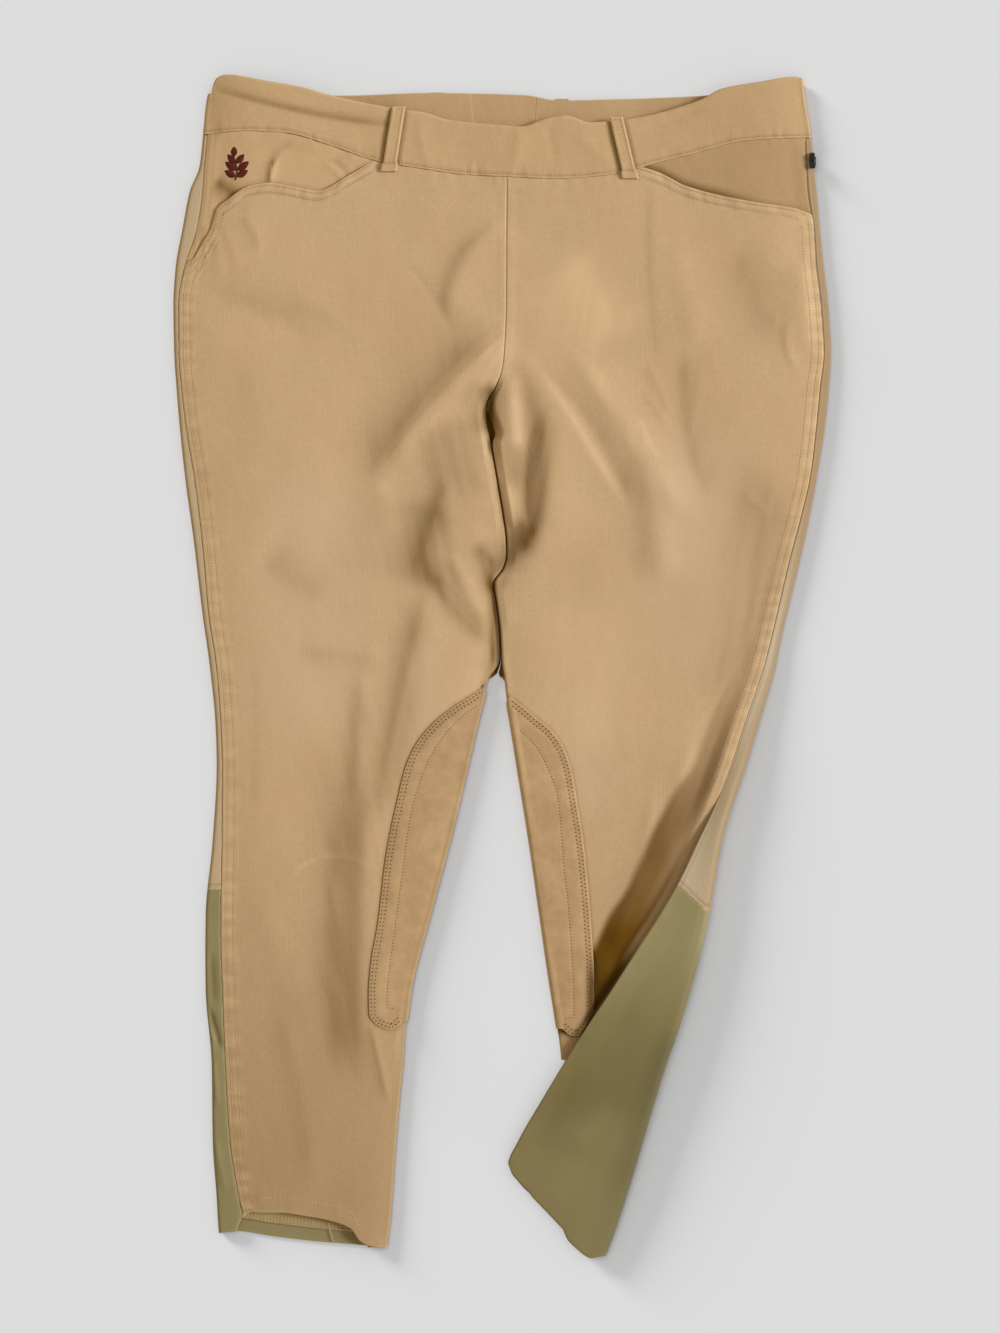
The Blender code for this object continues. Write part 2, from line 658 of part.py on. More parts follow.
def pocket_facing(side):
    """The cloth seen inside a pocket mouth, a layer below the front."""
    half = halves[side]
    inner_end = POCKET_MOUTH[side][0][0] + 2
    seam_y = curve([(x * half.sign, y) for x, y in BAND_SEAM])
    share = np.r_[0, 0.04, 0.1, 0.17, np.linspace(0.25, 1, 8)]
    down = np.linspace(0, 1, 6)[:, None]
    y = 400 + np.zeros((len(down), len(share)))
    for _ in range(25):
        first = half.seam(y) - SEAM / 2
        out = first + (inner_end - first) * share
        high = seam_y(out) - SEAM
        y = (y + high + (half.mouth_y(out) - FACING_TUCK - high) * down) / 2
    z = half.height(out, y) - FACING_DROP
    points = np.stack([half.sign * out, y, np.maximum(z, LEAST_HEIGHT)], -1)
    sheet(f"pocket_facing_{side}", points, WALL, "band_cloth")


def band_height(x, y):
    """Height of the front waistband's outer face."""
    z = np.where(x < middle_x(y), halves["right"].height(-x, y), halves["left"].height(x, y))
    return z + BAND_WALL - WALL


def band_side(half, y, turn):
    """The waistband's turned side, down to a rim at mid height. turn is 1 for the front, -1 for the back."""
    half_height = (half.front_at_seam(y) + BAND_WALL - WALL) / 2
    out, up = np.array(BAND_SIDE).T
    z = half_height + turn * (SEAM / 2 + (half_height - SEAM / 2) * up)
    x = half.edge(y) - EDGE_RADIUS * (1 - out)
    return np.stack([half.sign * x, y + 0 * out, z], -1)


def right_turn_x(y):
    return EDGE_RADIUS - halves["right"].edge(y)


def left_turn_x(y):
    return halves["left"].edge(y) - EDGE_RADIUS


def band_grid(first_x, last_x, seam_y, top_y, rows, columns):
    """x, y of a band from its seam up to its top edge. first_x and last_x give its ends' x at each y."""
    up, share = np.linspace(0, 1, rows)[:, None], np.linspace(0, 1, columns)
    y = seam_y(0.0) + 0 * (up + share)
    for _ in range(20):
        first, last = first_x(y[:, :1]), last_x(y[:, -1:])
        x = first + (last - first) * share
        y = seam_y(x) + (top_y(x) - seam_y(x)) * up
    return x, y


def waistband_front():
    """The front waistband: a curved band that turns down half-way round each side."""
    x, y = band_grid(right_turn_x, left_turn_x, band_seam_y, band_top_y, 6, BAND_COLUMNS)
    top = np.stack([x, y, band_height(x, y)], -1)
    right_side = band_side(halves["right"], y[:, :1], 1)[:, ::-1]
    left_side = band_side(halves["left"], y[:, -1:], 1)
    sheet("waistband_front", np.concatenate([right_side, top, left_side], 1), BAND_WALL, "band_cloth")


def waistband_back():
    """The back waistband in three pieces, lying on the surface and turned half-way up each side."""

    def join(number, shift):
        return curve([(460, BACK_BAND_JOINS[number][0] + shift), (410, BACK_BAND_JOINS[number][1] + shift)])

    spans = {
        "right": (right_turn_x, join(0, -SEAM / 2), 9),
        "centre": (join(0, SEAM / 2), join(1, -SEAM / 2), 3),
        "left": (join(1, SEAM / 2), left_turn_x, 9),
    }
    for name, (first_x, last_x, columns) in spans.items():
        x, y = band_grid(first_x, last_x, back_band_seam_y, back_band_top_y, 5, columns)
        points = np.stack([x, y, loop_lift(x, y)], -1)
        if name == "right":
            points = np.concatenate([band_side(halves[name], y[:, :1], -1)[:, ::-1], points], 1)[:, ::-1]
        if name == "left":
            points = np.concatenate([points, band_side(halves[name], y[:, -1:], -1)], 1)
        sheet(f"waistband_back_{name}", points, BAND_WALL, "band_cloth", up=False)


def belt_loop_front(side):
    """A belt loop sewn down at both ends, standing a little off the band between them."""
    (top_x, top_y), (low_x, low_y) = BELT_LOOPS_FRONT[side]
    down = np.linspace(0, 1, 10)[:, None]
    across = np.array([-0.5, -0.25, 0.25, 0.5]) * BELT_LOOP_WIDTH
    x = top_x + (low_x - top_x) * down + across
    y = top_y + (low_y - top_y) * down + 0 * across
    middle = band_height(top_x + (low_x - top_x) * down, y)
    bow = BELT_LOOP_BOW * np.sin(pi * np.clip(down * 1.12 - 0.06, 0, 1)) ** 0.6
    rounded = np.array([-0.35, 0, 0, -0.35])
    z = np.maximum(middle, band_height(x, y)) + 2 * SEAM + LOOP_WALL + bow + rounded * bow / BELT_LOOP_BOW
    sheet(f"belt_loop_front_{side}", np.stack([x, y, z], -1), LOOP_WALL, "band_cloth")


def box(name, low, high, bevel, finish_name):
    """A block between two corners, from a cube."""
    low, high = np.array(low), np.array(high)
    mesh = bpy.data.meshes.new(name)
    shape = bmesh.new()
    bmesh.ops.create_cube(shape, size=1)
    bmesh.ops.scale(shape, vec=(high - low) * MM, verts=shape.verts)
    bmesh.ops.translate(shape, vec=(high + low) / 2 * MM, verts=shape.verts)
    bmesh.ops.bevel(shape, geom=shape.edges[:], offset=bevel * MM, segments=1, profile=0.5, affect="EDGES")
    shape.to_mesh(mesh)
    shape.free()
    finish(name, mesh, finish_name)


def belt_loop_back(side):
    """A back belt loop, pressed flat under the band."""
    x, top_y, low_y = BELT_LOOPS_BACK[side]
    half = BELT_LOOP_WIDTH / 2
    box(f"belt_loop_back_{side}", (x - half, low_y, 0), (x + half, top_y, LOOP_FLAT), 0.4, "band_cloth")


def hem_facing():
    """The knitted facing sewn inside the right back hem."""
    x = np.linspace(*HEM_FACING_X, 10) + np.zeros((3, 1))
    y = back_hem_y(x) + np.linspace(*HEM_FACING_Y, 3)[:, None]
    points = np.stack([x, y, WALL + SEAM + HEM_FACING_WALL + 0 * x], -1)
    sheet("hem_facing_right", points, HEM_FACING_WALL, "hem_knit")


def left_leg_inner_layers():
    """The layers hidden in the folded left leg: one rounded body with a lip along the seam and the hem."""
    half = halves["left"]
    levels = np.r_[-143, -151, -161, -174, np.linspace(-190, FLAP_HEM_Y + 1.0, 9)]
    sections = []
    for y_seam in levels:
        y_edge = half.fold_row(y_seam)
        start = np.array([half.seam(y_seam) + SEAM / 2, y_seam])
        end = np.array([half.edge(y_edge) - half.fold_radius(y_edge), y_edge])
        length = np.linalg.norm(end - start)
        step_in = np.clip(half.lap(y_seam), 0, None) + 1.0
        floor = WALL + LAYER_GAP

        def on_row(distance, z):
            share = distance / length
            spot = start + (end - start) * share
            return [spot[0], spot[1] - flap_bulge(share, y_seam), z]

        def under_sheet(distance):
            return float(half.strip_height(distance / length, y_seam)) - WALL - LAYER_GAP

        tail = length + half.fold_radius(y_edge) - 2 * WALL
        top = under_sheet(length)
        lip = max(under_sheet(LAYER_GAP) - LAYER_LIP, floor + SEAM)
        tops = [*np.linspace(length, step_in, 5), LAYER_GAP]
        ring = [on_row(distance, floor) for distance in (step_in, (step_in + length) / 2, length)]
        ring += [on_row(tail, floor + (top - floor) * share) for share in (0.25, 0.75)]
        ring += [on_row(distance, under_sheet(distance)) for distance in tops]
        ring += [on_row(LAYER_GAP, lip), on_row(step_in, lip)]
        sections.append(ring)
    points = np.array(sections)
    count = points.shape[1]
    index = np.arange(points.shape[0] * count).reshape(-1, count)
    after = np.roll(index, -1, axis=1)
    quads = np.stack([index[:-1], after[:-1], after[1:], index[1:]], -1).reshape(-1, 4).tolist()
    cap = [(10, 11, 12, 9), (9, 12, 8), (12, 0, 8), (8, 0, 1, 7), (7, 1, 2, 6), (6, 2, 5), (5, 2, 3, 4)]
    caps = [[int(end_ring[k]) for k in face] for end_ring in (index[0], index[-1]) for face in cap]
    mesh = bpy.data.meshes.new("left_leg_inner_layers")
    mesh.from_pydata((points.reshape(-1, 3) * MM).tolist(), [], quads + caps)
    shape = bmesh.new()
    shape.from_mesh(mesh)
    bmesh.ops.recalc_face_normals(shape, faces=shape.faces)
    shape.to_mesh(mesh)
    shape.free()
    finish("left_leg_inner_layers", mesh, "stretch_cloth")


def flat_plate(name, outlines, thickness, place, turned, finish_name):
    """A plate from closed outlines, the first its rim and the others its holes."""
    outline = bpy.data.curves.new(name, "CURVE")
    outline.dimensions = "2D"
    outline.fill_mode = "BOTH"
    outline.extrude = thickness / 2 * MM
    for points in outlines:
        spline = outline.splines.new("POLY")
        spline.points.add(len(points) - 1)
        for control, (u, v) in zip(spline.points, points):
            control.co = (u * MM, v * MM, 0, 1)
        spline.use_cyclic_u = True
    guide = bpy.data.objects.new(name + "_outline", outline)
    parts.objects.link(guide)
    guide.location = [value * MM for value in place]
    guide.rotation_euler = turned
    bpy.context.view_layer.update()
    graph = bpy.context.evaluated_depsgraph_get()
    mesh = bpy.data.meshes.new_from_object(guide.evaluated_get(graph))
    shape = bmesh.new()
    shape.from_mesh(mesh)
    bmesh.ops.remove_doubles(shape, verts=shape.verts, dist=0.01 * MM)
    bmesh.ops.recalc_face_normals(shape, faces=shape.faces)
    shape.to_mesh(mesh)
    shape.free()
    matrix = guide.matrix_world.copy()
    bpy.data.objects.remove(guide)
    mesh.materials.clear()
    made = finish(name, mesh, finish_name)
    made.matrix_world = matrix
    return made


def zip_slider():
    """The slider at the top of the side zip: a plate with a bridge that holds the pull's bar."""
    side_view = [
        (-3.8, 0), (3.8, 0), (4.2, 0.6), (3.6, 1.2), (3.0, 2.8), (2.2, 3.3), (-1.2, 3.3), (-2.0, 2.8),
        (-2.2, 1.2), (-3.8, 1.0),
    ]
    bridge_hole = [(-1.2, 1.2), (-1.1, 2.6), (1.9, 2.6), (2.2, 1.2)]
    place = (ZIP_X, ZIP_PIVOT_Y, ZIP_SEAT)
    flat_plate("zip_slider", [side_view, bridge_hole], 3.4, place, (pi / 2, 0, pi / 2), "zip_metal")


def zip_pull():
    """The pull tab: a thin tongue with an eye, hanging on the slider's bridge."""
    rim = [
        (-2.6, 0.4), (2.6, 0.4), (2.75, 0.2), (2.75, -3.6), (2.2, -8.0), (1.2, -8.8), (-1.2, -8.8),
        (-2.2, -8.0), (-2.75, -3.6), (-2.75, 0.2),
    ]
    eye = [(-2.1, -0.35), (2.1, -0.35), (2.1, -3.4), (-2.1, -3.4)]
    place = (ZIP_X, ZIP_PIVOT_Y, ZIP_SEAT + ZIP_PIVOT_RISE)
    flat_plate("zip_pull", [rim, eye], 0.7, place, (0, 0, 0), "zip_metal")


for leftover in list(bpy.data.objects):
    bpy.data.objects.remove(leftover)
parts = bpy.data.collections.new("riding_breeches")
bpy.context.scene.collection.children.link(parts)

halves = {side: Half(side) for side in SIDES}
for side in SIDES:
    front(side)
    back(side)
    calf(side)
    knee_patch(side)
    pocket_facing(side)
    belt_loop_front(side)
    belt_loop_back(side)
waistband_front()
waistband_back()
hem_facing()
left_leg_inner_layers()
zip_slider()
zip_pull()
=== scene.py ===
"""Riding breeches laid flat: cloth, suede, stitching, zip and stage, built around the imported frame.

+X is the wearer's left, +Y the waist, +Z up. Shapes are worked out in millimetres and scaled to
metres when they become meshes. "Out" is a distance from the plane x = 0 towards either side seam.
"""

from math import pi, radians

import bpy
import numpy as np
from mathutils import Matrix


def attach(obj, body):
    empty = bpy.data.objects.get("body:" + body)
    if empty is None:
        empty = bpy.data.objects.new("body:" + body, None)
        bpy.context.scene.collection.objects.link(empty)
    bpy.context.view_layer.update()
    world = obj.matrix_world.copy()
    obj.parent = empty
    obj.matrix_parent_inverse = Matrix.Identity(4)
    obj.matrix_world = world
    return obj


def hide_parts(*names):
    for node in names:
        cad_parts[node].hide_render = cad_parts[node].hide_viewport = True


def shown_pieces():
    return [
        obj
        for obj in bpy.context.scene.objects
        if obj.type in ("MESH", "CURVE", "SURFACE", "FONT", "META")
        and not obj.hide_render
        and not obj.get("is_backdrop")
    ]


bl_info = {
    "name": "Riding Breeches",
    "version": (1, 0, 0),
    "blender": (4, 5, 0),
    "location": "View3D > Sidebar > Breeches",
    "description": "Cloth, suede, stitching and zip of a pair of riding breeches laid flat",
    "category": "Object",
}

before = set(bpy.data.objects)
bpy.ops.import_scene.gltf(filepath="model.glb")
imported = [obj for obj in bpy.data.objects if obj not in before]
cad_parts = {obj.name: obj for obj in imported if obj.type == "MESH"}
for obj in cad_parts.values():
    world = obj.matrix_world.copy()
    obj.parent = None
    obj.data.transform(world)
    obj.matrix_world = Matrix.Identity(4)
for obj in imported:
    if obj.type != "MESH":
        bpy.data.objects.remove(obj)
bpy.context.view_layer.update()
BODY = "breeches"
MM = 0.001

# ---- settings


def length(name, description, default, low, high):
    """A size that the panel shows, in metres."""
    return bpy.props.FloatProperty(
        name=name, description=description, default=default, min=low, max=high, unit="LENGTH", precision=5
    )


def colour(name, description, default):
    """A colour that the panel shows."""
    return bpy.props.FloatVectorProperty(
        name=name, description=description, default=default, min=0, max=1, size=3, subtype="COLOR"
    )


class BreechesSizes(bpy.types.PropertyGroup):
    """Thicknesses of the layers and sizes of the sewing."""

    cloth: length("Cloth", "Thickness of one layer of stretch cloth", 0.0012, 0.0005, 0.003)
    band: length("Waistband", "Thickness of the doubled waistband", 0.002, 0.001, 0.004)
    suede: length("Suede", "Thickness of the knee patches", 0.001, 0.0005, 0.002)
    loop: length("Belt loop", "Thickness of a belt loop", 0.0014, 0.0008, 0.003)
    knit: length("Hem facing", "Thickness of the knitted hem facing", 0.0009, 0.0004, 0.002)
    stitch_pitch: length("Stitch pitch", "Distance from one stitch to the next", 0.0024, 0.0015, 0.005)
    stitch_length: length("Stitch length", "Length of the thread seen on top", 0.0016, 0.001, 0.004)
    thread: length("Thread", "Radius of the sewing thread", 0.00034, 0.0001, 0.0006)


class BreechesColours(bpy.types.PropertyGroup):
    """Colours of the cloths, threads and metal."""

    stretch_cloth: colour("Fronts", "Tan stretch cloth of the fronts", (0.588, 0.392, 0.206))
    back_cloth: colour("Backs", "Tan stretch cloth of the backs", (0.455, 0.295, 0.145))
    calf_stretch: colour("Calves", "Olive stretch cloth of the calves", (0.290, 0.236, 0.104))
    suede: colour("Knee patches", "Suede inside the knees", (0.505, 0.320, 0.156))
    band_cloth: colour("Waistband", "Cloth of the waistband, facings and loops", (0.578, 0.378, 0.191))
    hem_knit: colour("Hem facing", "Knit inside the right hem", (0.398, 0.280, 0.108))
    thread: colour("Thread", "Sewing thread on the cloth", (0.620, 0.430, 0.235))
    dark_thread: colour("Patch thread", "Sewing thread on the suede", (0.190, 0.105, 0.045))
    motif: colour("Sprig", "Embroidery thread of the sprig", (0.100, 0.018, 0.010))
    zip_metal: colour("Zip", "Enamelled metal of the zip", (0.012, 0.012, 0.014))
    zip_tape: colour("Zip tape", "Coils and tape of the side zip", (0.230, 0.200, 0.165))
    floor: colour("Floor", "The surface that the breeches lie on", (0.669, 0.723, 0.904))


def wall(name):
    """One of the panel's sizes, in millimetres."""
    return getattr(bpy.context.scene.breeches_sizes, name) / MM


def colour_of(name):
    """One of the panel's colours."""
    return tuple(getattr(bpy.context.scene.breeches_colours, name))


# ---- the breeches' lines, in millimetres

SIDES = {"right": -1, "left": 1}  # the wearer's sides, and the sign of x there

# How the layers lie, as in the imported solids.
WALL = 1.2
SEAM = 0.06  # between two pieces sewn edge to edge
BAND_GAP = 0.05  # between the waistband and what hangs from it
INSEAM_GAP = 0.8
INSEAM_TUCK = 13.0  # width of a front that lies under its leg
INNER_SKIN = 0.6  # thickness of the sheet that stands for the folded calf's inner layers
EDGE_RADIUS = 2.6  # of the turn down a leg's inner edge, and down the waistband's ends
SIDE_RISE = 52.0  # a front climbs to its crown over this width from the side seam
INNER_RISE = 34.0  # and over this width from its inner edge
LEAST_HEIGHT = 3.2
PATCH_LIFT = 0.15  # between the suede and the front
PATCH_WALL = 1.0
PATCH_TURN = 1.8  # how far the suede turns down the inner edge, in radians
PATCH_CORNER = 6.0  # how far its lower corner is swept up
PATCH_TIP = 0.4  # least width of its upper tip
LOOP_LIFT = 2.2  # how far the back rises over its belt loops
FACING_DROP = 1.7  # how far the facing lies below the front
FACING_TUCK = 10.0  # and how far it reaches under the front past the pocket mouth

# Rows of stitching, by their distances from the edge that they follow.
SIDE_ROWS = (4.3, 10.0)
MOUTH_ROWS = (2.1, 7.4)
FACING_ROWS = (2.2, 6.4)
PATCH_ROWS = (2.1, 5.0)
BAND_ROW = 2.4
CALF_ROW = 1.9
HEM_ROW = 12.4
ROW_SHADE = 0.30  # depth of shade in the furrow of a row
EDGE_SHADE = {"right": 0.0, "left": 0.5}  # where a wrapped back turns round the outer edge

OUTER = {
    "right": [  # y, seam, edge
        (472, 228.6, 232.2), (450, 233.6, 237.2), (430, 235.6, 239.2), (400, 238.6, 242.6),
        (380, 240, 250.4), (350, 244.5, 256.2), (320, 254, 261.6), (290, 259, 263.5), (250, 258.8, 262.8),
        (225, 257, 261.2), (190, 252.9, 258.3), (150, 246.4, 254), (100, 240.2, 247.2), (40, 234.8, 240),
        (0, 228.9, 234.4), (-50, 225.1, 229.6), (-80, 224.1, 228.8), (-140, 224.3, 232),
        (-200, 225.3, 237.6), (-230, 225.1, 237.9), (-260, 223.9, 237.6), (-320, 221.7, 232.8),
        (-380, 217.9, 232), (-430, 209.9, 228.6), (-438, 207.8, 228.2), (-450, 211.5, 227.4),
        (-460, 215, 226.6), (-466, 216, 226),
    ],
    "left": [
        (472, 237, 240.8), (450, 239.6, 243.5), (430, 242.8, 246.9), (400, 244.2, 249.6), (380, 245.4, 252),
        (350, 250, 254.5), (320, 251.9, 257.6), (290, 255.5, 261.2), (250, 257.8, 263.5), (225, 255, 262),
        (190, 251.6, 258.3), (150, 246.6, 251.9), (120, 239.6, 246.3), (80, 229.1, 237.5),
        (20, 215.2, 223.1), (0, 209.9, 219.1), (-50, 192.8, 204.3), (-80, 183, 195.1), (-110, 171.4, 184.7),
        (-140, 157, 175.9), (-170, 142.8, 170.4), (-200, 125.5, 165.5), (-230, 106.2, 159.1),
        (-260, 87.1, 151.1), (-290, 67, 141.9), (-320, 48.2, 131.5), (-350, 30.3, 122.2),
        (-380, 13.2, 112.9), (-400, 4.8, 106.5), (-440, 46, 93), (-474, 82, 80),
    ],
}
MIDDLE = [  # y, x, gap
    (480, 3.85, 0.1), (392, 3.85, 0.1), (350, 3.55, 0.1), (290, 3.2, 0.1), (250, 1.6, 0.1),
    (236, -0.2, 0.1), (223, -4.8, 0.3), (209, -12.2, 0.4), (202, -12.4, 1.2), (194, -12.1, 4.2),
    (186, -10.3, 4.6), (179, -8.9, 1), (174, -8.2, 0.4), (150, -4.2, 0.4), (120, 0.9, 0.4), (100, 3.3, 0.4),
    (88, 3.6, 0.4), (78, 0.8, 0.4), (66, -6.8, 0.4), (50, -4.6, 0.4), (24, -1.7, 0.4), (4, -1.2, 0.8),
    (-12, -10.4, 11.6), (-20, -12.1, 13.8), (-50, -19.7, 26.2), (-80, -26.5, 37.8), (-140, -40.9, 61.8),
    (-200, -56.9, 86.5), (-260, -72.1, 110.5), (-320, -79.2, 126.9), (-380, -84.8, 141), (-440, -89, 153),
    (-466, -92, 158),
]
CROTCH_TURN = [(232, 0.0), (216, 0.45), (202, 1.0)]  # y, share of the turn down the inner edge
TUCK_SHARE = {  # y, share of the tuck under the leg
    "right": [(222, 0.0), (200, 0.13), (165, 1.0)],
    "left": [(-318, 0.13), (-240, 1.0), (165, 1.0), (200, 0.13), (222, 0.0)],
}
CROWN = {  # y, height of the front at its highest
    "right": [
        (-466, 8.6), (-410, 8.4), (-320, 7.8), (-100, 8.2), (100, 8.8), (250, 8.8), (330, 9), (395, 10.6),
    ],
    "left": [(-320, 7.0), (-100, 8.0), (100, 8.8), (250, 8.8), (330, 9.0), (395, 10.6)],
}
FOLD_ROWS = {  # y at the side seam, y of the same row where it turns round the outer edge
    "right": [(-480, -480.0), (480, 480.0)],
    "left": [
        (-400, -466), (-320, -375), (-250, -289), (-176, -196.4), (-110, -117), (-60, -63), (0, 0),
        (40, 40), (90, 90), (480, 480),
    ],
}
FOLD_HEIGHT = {  # y at the outer edge, height of the tube there
    "right": [(-480, 5.2), (480, 5.2)],
    "left": [
        (-474, 8.5), (-440, 11.5), (-375, 14.5), (-290, 16), (-200, 15.5), (-140, 14.5), (-80, 12),
        (-20, 7.5), (40, 5.2), (480, 5.2),
    ],
}
INNER_HEIGHT = {  # y, height of the tube at its inner edge
    "right": [(-14, 5.2), (2, 3.3), (54, 3.3), (70, 5.2)],
    "left": [
        (-318, 3.6), (-285, 4.4), (-230, 6.4), (40, 7), (90, 5.2), (174, 5.2), (188, 3.5), (210, 3.5),
        (228, 5.2),
    ],
}
FRONT_AT_SEAM = {  # y, height of the front where it meets the side seam
    "right": [(-480, 5.4), (480, 5.4)],
    "left": [(-330, 3.4), (-200, 3.6), (-140, 3.8), (-80, 4.2), (-20, 5.0), (30, 5.4), (480, 5.4)],
}
FLAP_STEP = {  # y, how much higher than the front the wrapped back lies at the side seam
    "right": [(-480, 0.0), (480, 0.0)],
    "left": [
        (-400, 2.4), (-360, 5), (-320, 7), (-200, 7.4), (-120, 6.8), (-70, 5.4), (-20, 2.2), (30, 0),
    ],
}
FLAP_LAP = {  # y, how far the front runs on under the wrapped back, or stops short of it
    "right": [(-480, -0.15), (480, -0.15)],
    "left": [(-320, 9.0), (-190, 9.0), (-145, 4.0), (-104, -0.15)],
}
BAND_SEAM = [
    (-239, 425.2), (-206, 427.4), (-172, 425.4), (-142, 417.2), (-98, 402.8), (-66, 397.4), (-34, 392.8),
    (4, 390.6), (46, 389), (92, 393), (122, 401.4), (147, 407.6), (196, 419.6), (248, 422.8),
]
BAND_TOP = [
    (-232.5, 458), (-231, 466.5), (-227.5, 471.2), (-221, 473), (-190, 467.8), (-158, 462), (-142, 457.2),
    (-89, 446), (-61, 442), (-43, 436.4), (4, 431.6), (15, 430.8), (36, 437.4), (51, 439.6), (70, 434.2),
    (82, 434.8), (110, 438.4), (157, 451.6), (176, 461.2), (206, 466.8), (236, 471.4), (239.5, 469.5),
    (241, 465),
]
BACK_BAND_TOP = [
    (-233, 456), (-231, 464.5), (-227.5, 468.4), (-221, 469), (-200, 465.8), (-165, 459.5), (-130, 457.2),
    (-55, 458.8), (18, 457.2), (46, 452.8), (114, 454.8), (162, 457.2), (200, 463), (236, 469),
    (239.5, 467), (241, 463),
]
BACK_BAND_SEAM = [(-239, 424.8), (-120, 417.0), (0, 413.0), (120, 417.0), (248, 422.4)]
BACK_BAND_JOINS = [(-25.6, -19.2), (28.0, 24.8)]  # x of each join at y = 460 and at y = 410
POCKET_MOUTH = {
    "right": [
        (100, 406), (122, 392.4), (148, 379.6), (162, 382), (187, 386), (202, 383.6), (219, 373.2),
        (228, 366), (232, 352), (238, 341.2), (246, 327), (258, 319.6), (266, 316),
    ],
    "left": [
        (106, 400.5), (126, 394), (147, 383.6), (176, 375.6), (206, 370), (234, 366), (250, 360.4),
    ],
}
FRONT_HEM = [
    (-210, -444), (-201, -438), (-178, -438), (-158, -440.4), (-134, -445.2), (-121, -450.8),
    (-114, -460.4), (-107, -464.4), (-95, -466.8), (-90, -466.8),
]
BACK_HEM = [(-228, -455.2), (-216, -453.4), (-182, -458.0), (-147, -462.0), (-117, -464.4), (-88, -467.6)]
HEM_FACING_X = (-211.0, -100.0)
HEM_FACING_Y = (10.0, 21.0)  # above the back hem
FRONT_END_Y = {"right": -445.0, "left": -316.0}  # the lowest level row of each front
CALF_SEAM_Y = {"right": -179.6, "left": -175.6}
FLAP_HEM_Y = -399.0
FLAP_BULGE = [  # share across the turned flap, and how far its hem sags there
    (0, 0), (0.05, 5.8), (0.12, 7), (0.2, 7.6), (0.27, 9.6), (0.42, 11.2), (0.575, 13), (0.6, 13.4),
    (0.635, 18.4), (0.73, 19), (0.8, 18.8), (0.88, 17), (0.95, 12.2), (1, 7.6),
]
FLAP_BULGE_Y = -290.0  # the flap sags below this row
CALF_CREASES = [  # in the right calf where it shows beside the front
    (-234, -276, -226, -305, 0, 3, 3, 1.5, -1.6),
    (-237, -292, -230, -300, 0, 2, 3, 1, 1.2),
    (-232, -318, -228, -350, 0, 3, 4, 2, 1),
    (-233, -232, -231, -268, 0, 3, 4, 2, -0.9),
    (-230, -380, -222, -420, 0, 4, 5, 2, 0.9),
]
CALF_SHADE = [  # y and the depth of painted shade on the left calf's outer face; below 0, a painted highlight
    (-190, -0.5), (-215, -0.45), (-240, 0), (-262, 0.15), (-284, 0.38), (-308, 0.5), (-345, 0.56),
    (-375, 0.38), (-404, 0.33), (-430, 0.28), (-470, 0.24),
]
CALF_EDGE_SHADE = [(-284, 0.0), (-312, 0.5), (-400, 0.5), (-430, 0.3), (-470, 0.2)]
CALF_SHADES = [  # painted shade on the same face, in the terms of the folds; below 0, painted highlights
    (66, -322, 30, -386, 0, 10, 14, 5, 0.14),
    (88, -352, 60, -380, 0, 8, 12, 5, -0.14),
    (60, -395, 44, -425, 0, 16, 16, 8, -0.08),
    (112, -250, 100, -290, 0, 14, 10, 6, 0.1),
]

